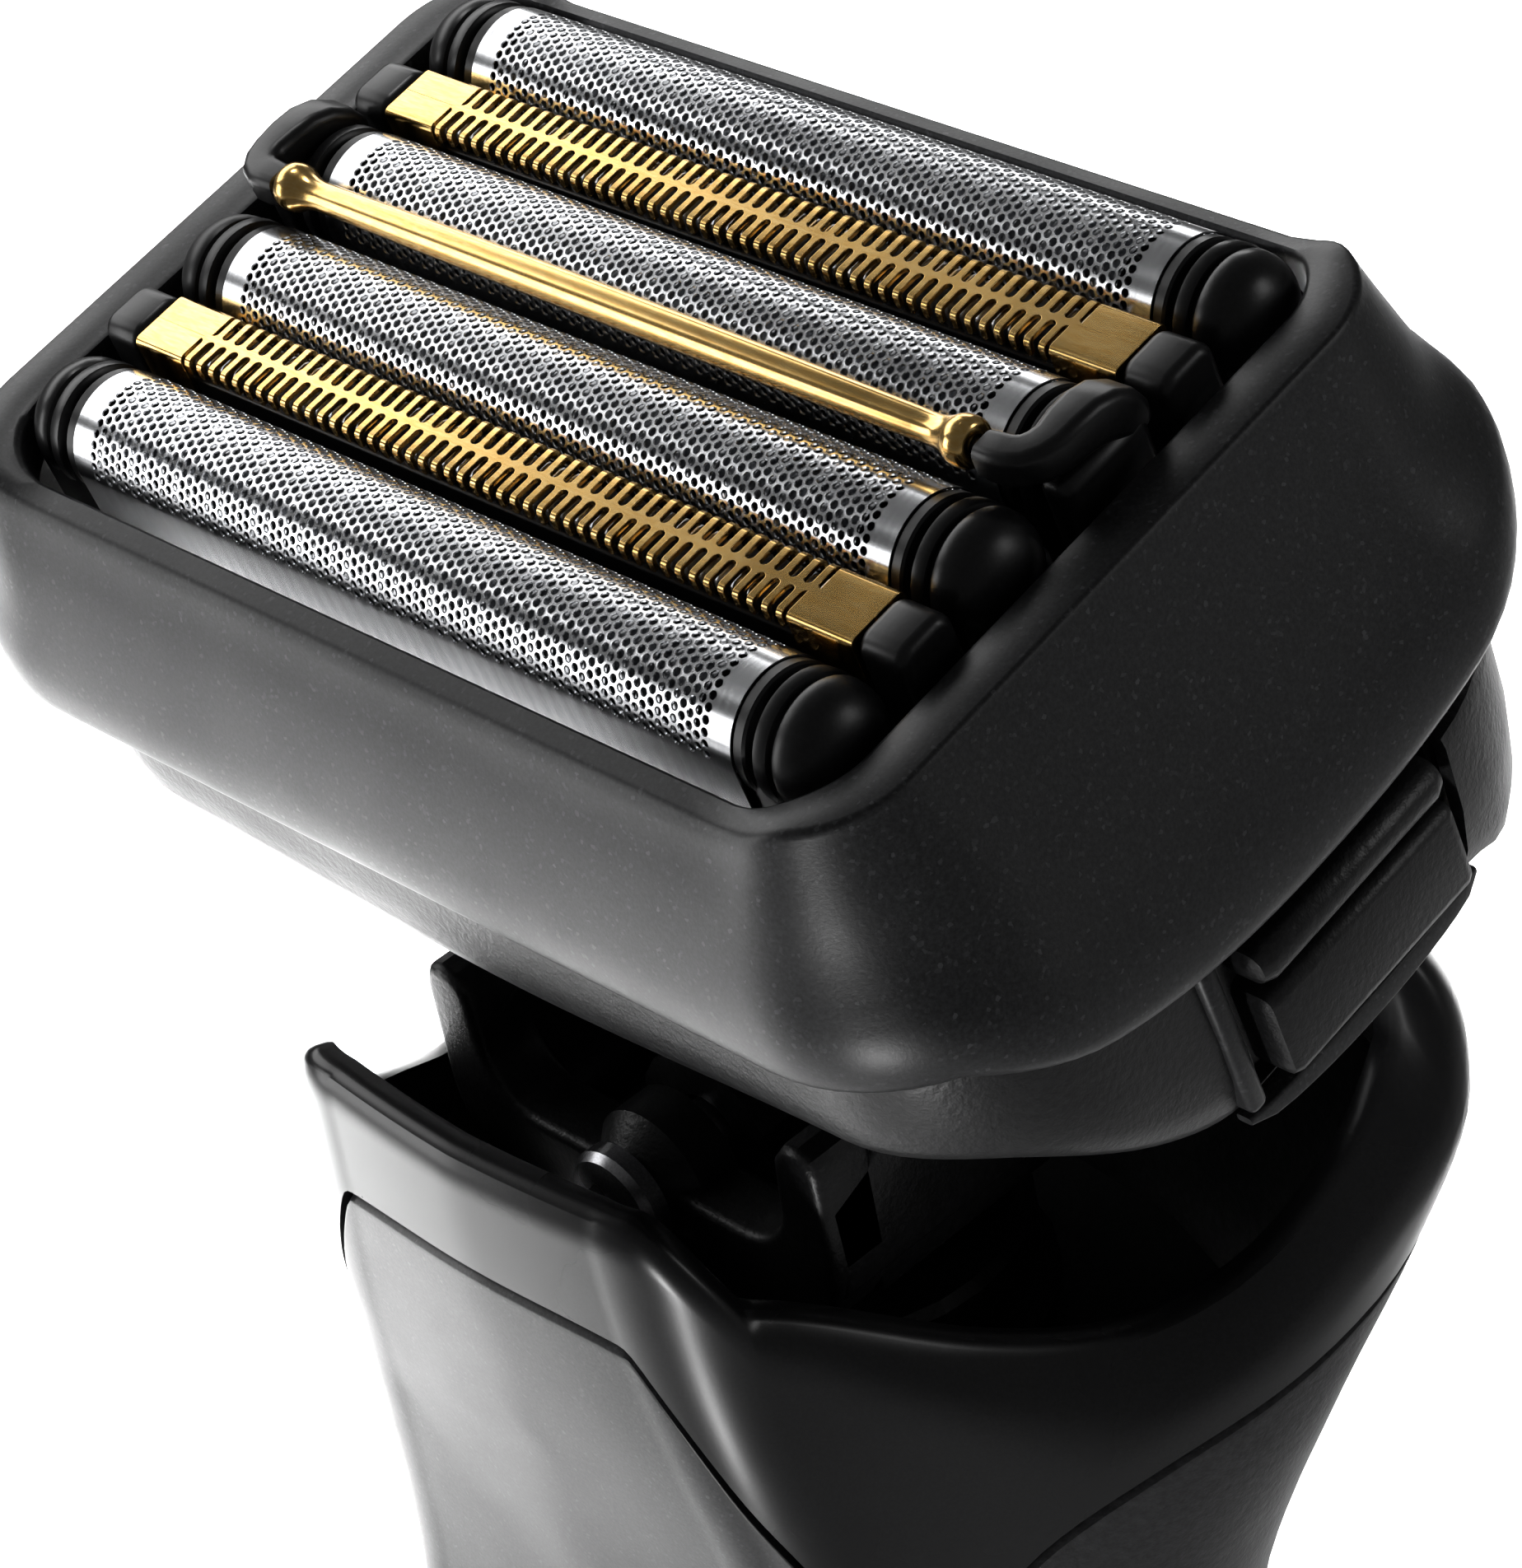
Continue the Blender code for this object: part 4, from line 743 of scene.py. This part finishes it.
BASE_INSIDE = (
    (19.5, -12.6, 12.0, 4.6, 6.6, 0.93, 1.0), (23.2, -14.4, 13.6, 5.4, 7.8, 0.88, 0.6),
    (23.9, -14.9, 14.0, 5.6, 8.0, 0.6, 0.0), (23.4, -14.2, 13.4, 5.0, 7.4, 0.0, 0.0),
)


def head_base():
    def ring(half_x, front, back, corner, rear, share, lift):
        return [(x, y, lerp(BASE_TOP, base_edge(x * BASE_HALF / half_x, y), share) + lift)
                for x, y in rounded_outline(half_x, front, back, corner, rear)]

    # The level edge of the neck's opening lies between the outside and the inside
    hole = rounded_outline(12.6, -11.0, 9.5, 2.0)
    opening = [[(x, y, height) for x, y in hole] for height in (-19.6, -18.2)]
    rows = [ring(*row) for row in BASE_OUTSIDE] + opening + [ring(*row) for row in BASE_INSIDE]
    made = Shape().loft(rows, wrap=True).make("base_shell", "base_plastic", "head", nodes=["head_base"])
    for side, sign in SIDES:
        low, high = across(sign, 22.6, 29.0)
        cut(made, Shape().prism(rounded((-4.1, -23.9), (7.6, -16.2), 0.6), low, high, "X"), HEAD)
        # The sill under the release button, and the step in front of it
        trim = Shape()
        loops = []
        for y in between(-5.0, 8.2, 14):
            full = math.sqrt(max(1 - ((y - 1.6) / 6.6) ** 2, 0.0))
            x, half_height = 25.15 + 0.45 * full, 0.18 + 0.36 * full
            loops.append([(sign * (x + a), y, -24.72 + b) for a, b in
                          rounded((-0.5, -half_height), (0.2 + 0.2 * full, half_height), 0.14, 4)])
        trim.loft(loops)
        low, high = across(sign, 24.6, 25.95)
        block(trim, (low, -5.2, -23.9), (high, -4.3, -16.4), 0.3, "Z", 0.3)
        trim.make(f"button_sill_{side}", "frame_plastic", "head", sharp=50)


def rear_cover():
    """The band round the base's back, whose ends taper up towards their tips."""
    top, thickness = -16.6, 0.55
    levels = ((top, 1.0), (-17.2, 1.003), (-21.0, 0.998), (-23.6, 0.985), (-24.7, 0.972))
    outline = [point for point in rounded_outline(26.1, -16.6, 16.0, 7.2, 9.6) if point[1] > 7.4]
    start = next(i for i in range(len(outline)) if outline[i - 1][0] < 0 < outline[i][0])
    outline = outline[start:] + outline[:start]
    loops = []
    for index, (x, y) in enumerate(outline):
        foot = 1.0 - 0.16 * (1 - ease(min(index, len(outline) - 1 - index), 0, 3))
        normal = Vector((x, y - 4.0, 0.0)).normalized() * thickness
        middle = [Vector((x * size, y * size, top + (z - top) * foot)) for z, size in levels]
        loops.append([point + normal for point in middle] + middle[::-1])
    Shape().loft(loops).make("cover_shell", "base_plastic", "head", nodes=["rear_cover"], sharp=40)


def release_buttons():
    """Each button is a plate that slides behind the base's wall, with a broad key and a raised bar on it."""
    for side, sign in SIDES:
        shape = Shape()
        for near, far, low_y, low_z, high_y, high_z, look in (
                (24.15, 24.9, -3.7, -23.4, 7.2, -16.7, (0.3, "Y", 0.2)),
                (24.4, 26.85, -3.5, -23.3, 7.0, -19.05, (0.55, "Y", 0.45)),
                (24.4, 27.1, -3.5, -18.6, 7.0, -16.75, (0.85, "Y", 0.7, 6))):
            low, high = across(sign, near, far)
            block(shape, (low, low_y, low_z), (high, high_y, high_z), *look)
        shape.make(f"release_key_{side}", "base_plastic", f"release_{side}", nodes=[f"release_button_{side}"])


# Handle

SECTIONS = (
    (-24.0, -16.2, 10.3, 25.0, 11.2, 18.8),
    (-33.0, -16.1, 10.8, 24.9, 11.0, 18.8),
    (-39.0, -15.7, 11.9, 23.3, 8.8, 18.2),
    (-46.0, -14.9, 13.0, 21.1, 4.8, 16.5),
    (-54.0, -14.6, 13.7, 18.3, 2.2, 14.5),
    (-60.0, -15.0, 14.0, 16.8, 1.0, 13.6),
    (-68.0, -15.4, 14.3, 16.7, 0.2, 13.7),
    (-80.0, -15.6, 14.9, 18.4, 0.0, 14.7),
    (-95.0, -15.5, 15.4, 20.0, 0.0, 15.2),
    (-130.0, -15.2, 15.0, 20.0, 0.0, 15.0),
    (-155.0, -13.8, 13.6, 18.2, 0.0, 13.6),
    (-165.0, -13.0, 12.8, 17.2, 0.0, 12.8),
)
CORNER_ROUND = 3.2
TIP = 2.05
PANEL_EDGE, GRIP_EDGE = TIP - 0.008, TIP + 0.008
SHELL_FOOT, SHELL_WALL, SHELL_GAP = -160.0, 1.4, 0.28
RIM = ((0.0, -26.8), (1.3, -26.8), (1.6, -27.8), (2.0, -31.5), (2.3, -36.2), (2.55, -38.0), (2.75, -36.8),
       (2.9, -33.0), (3.05, -28.4), (3.2, -26.15), (3.4, -26.9), (4.0, -29.0))
LOWER_EDGE_FRONT = ((0.0, -32.4), (1.05, -32.8), (1.25, -35.0), (1.5, -39.6), (1.75, -44.2), (1.93, -49.6),
                    (TIP, -52.8))
LOWER_EDGE_SIDE = ((TIP, -52.8), (2.2, -48.9), (2.35, -45.8), (2.6, -43.3), (2.9, -41.2), (3.1, -38.8),
                   (3.3, -36.0), (3.5, -35.0), (4.0, -34.5))
FRONT_PLACES = between(0, 0.96, 8) + between(1.0, 1.9, 18) + [1.93, 1.96, 1.99, 2.015, PANEL_EDGE]
SIDE_PLACES = [GRIP_EDGE, 2.085, 2.12, 2.16] + between(2.2, 3.0, 20) + between(3.04, 4.0, 24)


def section_point(place, height):
    """The handle's outer skin. place runs from 0 at the front over corner and side to 4 at the back."""
    front, corner_x, widest_x, widest_y, back = through(SECTIONS, height)
    side, place = math.copysign(1.0, place), abs(place)
    corner = Vector((corner_x, front + 0.5))
    widest = Vector((widest_x, widest_y))
    lead = (widest - corner).normalized()
    round_start, round_end = corner - Vector((CORNER_ROUND, 0.0)), corner + lead * CORNER_ROUND
    if place <= 1:
        point = bezier((Vector((0.0, front)), Vector((round_start.x / 2, front + 0.1)), round_start), place)
    elif place <= 2:
        point = bezier((round_start, corner, round_end), place - 1)
    elif place <= 3:
        reach = (widest - round_end).length / 3
        point = bezier((round_end, round_end + lead * reach, widest - Vector((0.0, reach)), widest),
                       place - 2)
    else:
        point = bezier((widest, widest + Vector((0.0, (back - widest_y) * 0.62)),
                        Vector((widest_x * 0.62, back)), Vector((0.0, back))), place - 3)
    return Vector((point.x * side, point.y, height))


def inward(place, height):
    step = 0.02
    run = (section_point(place + step, height) - section_point(place - step, height)).normalized()
    return Vector((-run.y, run.x, 0.0))


def rim_height(place):
    return through(RIM, abs(place))[0]


def lower_edge(place):
    table = LOWER_EDGE_FRONT if abs(place) < TIP else LOWER_EDGE_SIDE
    return through(table, abs(place))[0]


def shell_top(place):
    """The upper edge of the panel and the grip, an even gap below the collar's lower edge."""
    step = 0.004 if abs(abs(place) - TIP) < 0.02 else 0.03
    low, high = abs(place) - step, abs(place) + step
    low, high = (max(low, TIP), high) if abs(place) > TIP else (low, min(high, TIP - 1e-6))
    run = (section_point(high, -45.0) - section_point(low, -45.0)).length
    rise = abs(lower_edge(high) - lower_edge(low))
    return lower_edge(place) - SHELL_GAP * math.hypot(run, rise) / run


def shoulder_point(place, height, deeper=0.0):
    """The collar's skin, which draws in towards its rim."""
    broad = ease(abs(place), 1.8, 2.8) * (1 - 0.5 * ease(abs(place), 3.0, 3.5))
    depth = max(rim_height(place) - height, 0.0)
    reach = min(1.5 + 4.5 * broad, 0.8 * (rim_height(place) - lower_edge(place)))
    inset = (0.5 + 1.9 * broad) * (1 - min(depth / reach, 1.0)) ** 2
    return section_point(place, height) + inward(place, height) * (inset + deeper)


def right_then_left(places):
    return places + [-place for place in reversed(places[1:-1])]


COLLAR_OUTSIDE = (1.0, 0.93, 0.85, 0.75, 0.65, 0.55, 0.46, 0.38, 0.31, 0.25, 0.19, 0.14, 0.09, 0.05)
COLLAR_LIP = ((0.30, 0.0), (0.08, 0.10), (0.0, 0.30), (0.0, 0.75), (0.08, 1.05), (0.35, 1.25))
COLLAR_INSIDE = (0.12, 0.25, 0.45, 0.7, 1.0)


def collar():
    """The shell round the neck. Its sides go by shares of the way down, its lip by (drop, depth inwards)."""
    loops = []
    for place in right_then_left(FRONT_PLACES + SIDE_PLACES):
        rim, foot = rim_height(place), lower_edge(place)
        loops.append([shoulder_point(place, lerp(rim, foot, share)) for share in COLLAR_OUTSIDE]
                     + [shoulder_point(place, rim - drop, deeper) for drop, deeper in COLLAR_LIP]
                     + [shoulder_point(place, lerp(rim, foot, share), SHELL_WALL) for share in COLLAR_INSIDE])
    Shape().loft(loops, wrap=True).make("collar_shell", "collar_gloss", "handle", place=HANDLE,
                                        nodes=["collar"], sharp=50)


SHELL_EDGE = ((0.40, 0.0), (0.28, 0.02), (0.04, 0.24), (0.0, 0.32))  # drop, depth inwards


def body_shell(name, places, finish, node):
    """The panel's or the grip's shell, between the places given."""
    loops = []
    for place in places:
        top = shell_top(place)
        outer = [section_point(place, lerp(top, SHELL_FOOT, share ** 1.4))
                 for share in between(1, 0, 44)[:-1]]
        edge = [section_point(place, top - drop) + inward(place, top) * deeper for drop, deeper in SHELL_EDGE]
        inner = [section_point(place, height) + inward(place, height) * SHELL_WALL
                 for height in between(top, SHELL_FOOT, 12)]
        loops.append(outer + edge + inner)
    return Shape().loft(loops).make(name, finish, "handle", place=HANDLE, nodes=[node])


BUTTON_HEIGHT, BUTTON_RADIUS, RING_WIDTH, BUTTON_GAP = -92.0, 5.2, 1.0, 0.3


def handle_shells():
    panel_places = [-place for place in reversed(FRONT_PLACES[1:])] + FRONT_PLACES
    grip_places = SIDE_PLACES + [-place for place in reversed(SIDE_PLACES[:-1])]
    panel = body_shell("front_shell", panel_places, "panel_matte", "front_panel")
    grip = body_shell("grip_shell", grip_places, "grip_rubber", "rear_grip")
    hole_radius = BUTTON_RADIUS + RING_WIDTH + 2 * BUTTON_GAP
    button_hole = Shape().turned([(0, -20.0), (hole_radius, -20.0), (hole_radius, -11.0), (0, -11.0)],
                                 (0, 0, BUTTON_HEIGHT), "Y", 64)
    lens_hole = Shape().prism(rounded((-4.9, -128.3), (4.9, -109.7), 1.3), -20.0, -9.0, "Y")
    trimmer_hole = Shape().prism(rounded((-10.9, -110.4), (10.9, -59.0), 2.0), 8.5, 20.0, "Y")
    for shell, hole in ((panel, button_hole), (panel, lens_hole), (grip, trimmer_hole)):
        cut(shell, hole, HANDLE)


def controls():
    """The power button in its ring, with a plain raised circle on it, and the display's dark lens."""
    centre = (0.0, 0.0, BUTTON_HEIGHT)
    inner, outer = BUTTON_RADIUS + BUTTON_GAP, BUTTON_RADIUS + BUTTON_GAP + RING_WIDTH
    ring = [(inner, -13.9), (inner, -16.0), (inner + 0.12, -16.15), (inner + 0.35, -16.2),
            (outer - 0.2, -16.1), (outer, -15.9), (outer, -13.9)]
    Shape().turned(ring, centre, "Y", 96, ring=True).make("bezel", "ring_metal", "handle", place=HANDLE,
                                                          nodes=["button_ring"])
    dish = [(0, -16.05), (1.2, -16.08), (2.4, -16.18), (3.4, -16.34), (4.2, -16.5), (4.7, -16.55),
            (5.0, -16.45), (BUTTON_RADIUS, -16.1), (BUTTON_RADIUS, -14.2), (0, -14.2)]
    button = Shape().turned(dish, centre, "Y", 96)
    button.make("power_key", "panel_matte", "button", place=HANDLE, nodes=["power_button"])
    mark = [(1.55, -16.0), (1.55, -16.3), (1.62, -16.33), (1.88, -16.33), (1.95, -16.3), (1.95, -16.0)]
    Shape().turned(mark, centre, "Y", 64, ring=True).make("power_mark", "ring_metal", "button", place=HANDLE)
    lens = Shape().prism(rounded((-4.6, -128.0), (4.6, -110.0), 1.1, 6), -15.55, -13.6, "Y", 0.25, 3)
    lens.make("lens", "smoked_lens", "handle", place=HANDLE, nodes=["display_lens"])


def toothed(width, foot, root, tip, count):
    """The outline of a toothed plate, as wide to each side of the middle as width says."""
    outline = [(-width, foot), (width, foot), (width, root)]
    pitch = 2 * width / count
    for tooth in range(count):
        right = width - tooth * pitch
        outline += [(right - 0.26 * pitch, root + 0.1), (right - 0.38 * pitch, tip),
                    (right - 0.62 * pitch, tip), (right - 0.74 * pitch, root + 0.1), (right - pitch, root)]
    return outline


def trimmer():
    """The pop-up trimmer on the back: a ribbed slider with a comb and a blade at its top."""
    shape = Shape().prism(rounded((-10.5, -110.0), (10.5, -73.0), 1.8, 6), 12.0, 17.1, "Y", 0.9, 4)
    shape.make("trimmer_body", "base_plastic", "trimmer", place=HANDLE, nodes=["trimmer_slider"])
    ribs = Shape()
    for step in range(6):
        half, low = 6.5 - 0.25 * step, 2.2 * step - 104.6
        block(ribs, (-half, 16.9, low), (half, 17.2, low + 1.0), 0.13, "X", 0.1)
    ribs.make("trimmer_ribs", "base_plastic", "trimmer", place=HANDLE)
    Shape().prism(toothed(9.6, -72.6, -71.1, -69.0, 26), 14.4, 15.0, "Y").make(
        "comb_teeth", "cutter_steel", "trimmer", place=HANDLE, nodes=["trimmer_comb"])
    Shape().prism(toothed(8.6, -72.6, -71.2, -69.4, 24), 13.5, 14.1, "Y").make(
        "blade_teeth", "bright_metal", "trimmer_cutter", place=HANDLE, nodes=["trimmer_blade"])


BASE_CAP = ((-160.3, 3.0), (-160.3, 0.12), (-160.4, 0.0), (-161.5, 0.0), (-162.8, 0.12), (-163.8, 0.45),
            (-164.5, 0.95), (-164.9, 1.6), (-165.0, 2.3))  # height, inset


def base():
    """The cap that closes the handle, with the charging socket's opening in it."""
    places = right_then_left(FRONT_PLACES[:9] + between(1.0, 1.9, 9) + between(2.0, 3.0, 16)
                             + between(3.06, 4.0, 16))
    loops = [[section_point(place, height) + inward(place, height) * inset for place in places]
             for height, inset in BASE_CAP]
    cap = Shape().loft(loops).make("base_cap", "base_plastic", "handle", place=HANDLE, nodes=["bottom_cap"])
    cut(cap, Shape().prism(rounded((-5.3, 3.7), (5.3, 9.3), 1.2), -166.0, -159.0, "Z"), HANDLE)


TILT_Y, TILT_Z, ROLL_Z = 4.0, -24.0, -34.3  # the head's two pivots


def neck():
    """The gimbal that carries the head: a forked cradle on the swivel block, with its pins."""
    shape = Shape()
    front, back, outer = -7.8, 10.8, 11.0
    right_half = arc((6.5, -33.5), 4.5, 270, 360, 12) \
        + [(outer, -28.9), (10.7, -28.2), (10.0, -27.9), (9.2, -28.1), (8.6, -28.9)] \
        + arc((5.8, -31.2), 2.6, 0, -90, 10)
    fork = right_half + [(-x, z) for x, z in reversed(right_half)]
    shape.prism(fork, front, -4.8, "Y", 0.45, 4)
    shape.prism(fork, 7.8, back, "Y", 0.45, 4)
    arm = [(front + 0.4, -35.0), (back - 0.4, -35.0), (back - 0.2, -31.0), (9.2, -28.4), (7.9, -26.2)] \
        + arc((TILT_Y, TILT_Z), 3.6, 0, 180, 18) \
        + [(-0.2, -26.0), (-2.4, -28.2), (-5.2, -29.6), (front + 0.2, -30.6)]
    for side in (-1, 1):
        low, high = across(side, 6.1, 10.6)
        block(shape, (low, -5.3, -36.6), (high, 8.3, -33.7), 0.8, "Y", 0.3)
        low, high = across(side, 8.45, outer)
        shape.prism(arm, low, high, "X", 0.4, 4)
        low, high = across(side, 7.9, 8.6)
        shape.turned([(0, low), (2.2, low), (2.5, low + 0.25), (2.5, high), (0, high)],
                     (0, TILT_Y, TILT_Z), "X")
    boss = [(0, -8.0), (1.9, -8.0), (2.3, -7.6), (2.9, -6.9), (2.9, -5.0), (0, -5.0)]
    shape.turned(boss, (0, 0, ROLL_Z), "Y", 40)
    shape.make("cradle_fork", "base_plastic", "gimbal", place=HANDLE, nodes=["cradle"])
    screw = [(0, -9.15), (0.55, -9.15), (0.6, -9.4), (1.5, -9.4), (2.05, -9.25), (2.3, -8.9), (2.3, -8.2),
             (1.4, -8.2), (1.4, 11.6), (0, 11.6)]
    Shape().turned(screw, (0, 0, ROLL_Z), "Y").make("roll_shaft", "bright_metal", "swivel", place=HANDLE,
                                                    nodes=["roll_pin"])


# Assembly

FOILS = ((1, -1, OUTER_FOIL, "foil_unit_1"), (2, -1, INNER_FOIL, "centre_unit"),
         (3, 1, INNER_FOIL, "centre_unit"), (4, 1, OUTER_FOIL, "foil_unit_4"))
for number, side, (y, z), body in FOILS:
    foil(number, side * y, z, body)
for number, side, (y, z), body in FOILS:
    inner_blades(number, side * y, z, f"cutter_{number}")
    foil_caps(number, side * y, z, body, knob=number != 3)
for number, y in ((1, -SLIT_Y), (2, SLIT_Y)):
    slit_blade(number, y, f"slit_unit_{number}")
    slit_ends(number, y, f"slit_unit_{number}")
    slit_cutter(number, y, f"slit_cutter_body_{number}")
comfort_roller()
head_frame()
head_base()
rear_cover()
release_buttons()
collar()
handle_shells()
controls()
trimmer()
base()
neck()


# Floor, lights and camera

def floor():
    made = bpy.data.materials.new("floor")
    made.use_nodes = True
    shader = made.node_tree.nodes["Principled BSDF"]
    shader.inputs["Base Color"].default_value = (0.93, 0.93, 0.93, 1.0)
    shader.inputs["Roughness"].default_value = 0.9
    shader.inputs["Specular IOR Level"].default_value = 0.1
    shape = bmesh.new()
    bmesh.ops.create_grid(shape, x_segments=1, y_segments=1, size=4.0)
    mesh = bpy.data.meshes.new("floor")
    shape.to_mesh(mesh)
    shape.free()
    mesh.materials.append(made)
    placed("floor", mesh)


def softbox(name, where, target, size, radiance, beam=180):
    """A soft rectangular light. Its radiance is that of its face; beam narrows its spread, in degrees."""
    light = bpy.data.lights.new(name, "AREA")
    light.shape = "RECTANGLE"
    light.size, light.size_y = size
    light.energy = radiance * math.pi * size[0] * size[1]
    light.spread = math.radians(beam)
    made = placed(name, light)
    made.location = where
    made.rotation_euler = (Vector(target) - Vector(where)).to_track_quat("-Z", "Y").to_euler()


floor()
HEAD_CENTRE = (0.0, 0.0, 0.145)
softbox("left_bank", (-0.42, 0.02, 0.40), HEAD_CENTRE, (0.55, 0.22), 2.8)
softbox("key", (-0.34, -0.32, 0.16), HEAD_CENTRE, (0.14, 0.26), 3.6)
softbox("back_left", (-0.45, 0.46, 0.34), HEAD_CENTRE, (0.30, 0.16), 3.0)
softbox("right_back", (0.40, 0.28, 0.30), HEAD_CENTRE, (0.10, 0.22), 3.0)
softbox("corner_strip", (0.085, -0.20, 0.012), (0.013, -0.015, 0.125), (0.02, 0.07), 60.0)
softbox("backdrop", (-0.22, 0.17, 0.34), (-0.22, 0.17, 0.0), (0.30, 0.30), 6.0, 60)
softbox("left_floor", (-0.27, -0.07, 0.30), (-0.25, -0.07, 0.0), (0.14, 0.24), 8.0, 60)

world = bpy.data.worlds.new("world")
bpy.context.scene.world = world
world.use_nodes = True
world.node_tree.nodes["Background"].inputs["Color"].default_value = (1, 1, 1, 1)
world.node_tree.nodes["Background"].inputs["Strength"].default_value = 0.07

camera = bpy.data.cameras.new("camera")
camera.lens = 117.744
camera.sensor_width = 36.0
camera.clip_start = 0.01
viewer = placed("camera", camera)
RIGHT = Vector((0.691304, 0.703459, -0.165060))
UP = Vector((-0.315586, 0.499446, 0.806820))
BACK = Vector((0.650004, -0.505667, 0.567271))
VIEWPOINT = Vector((126.716, -96.549, 89.400))  # in the handle's frame
viewer.matrix_world = Matrix.Translation(HANDLE @ (VIEWPOINT * MM)) \
    @ Matrix((RIGHT, UP, BACK)).transposed().to_4x4()
bpy.context.scene.camera = viewer
bpy.context.scene.view_settings.view_transform = "Standard"
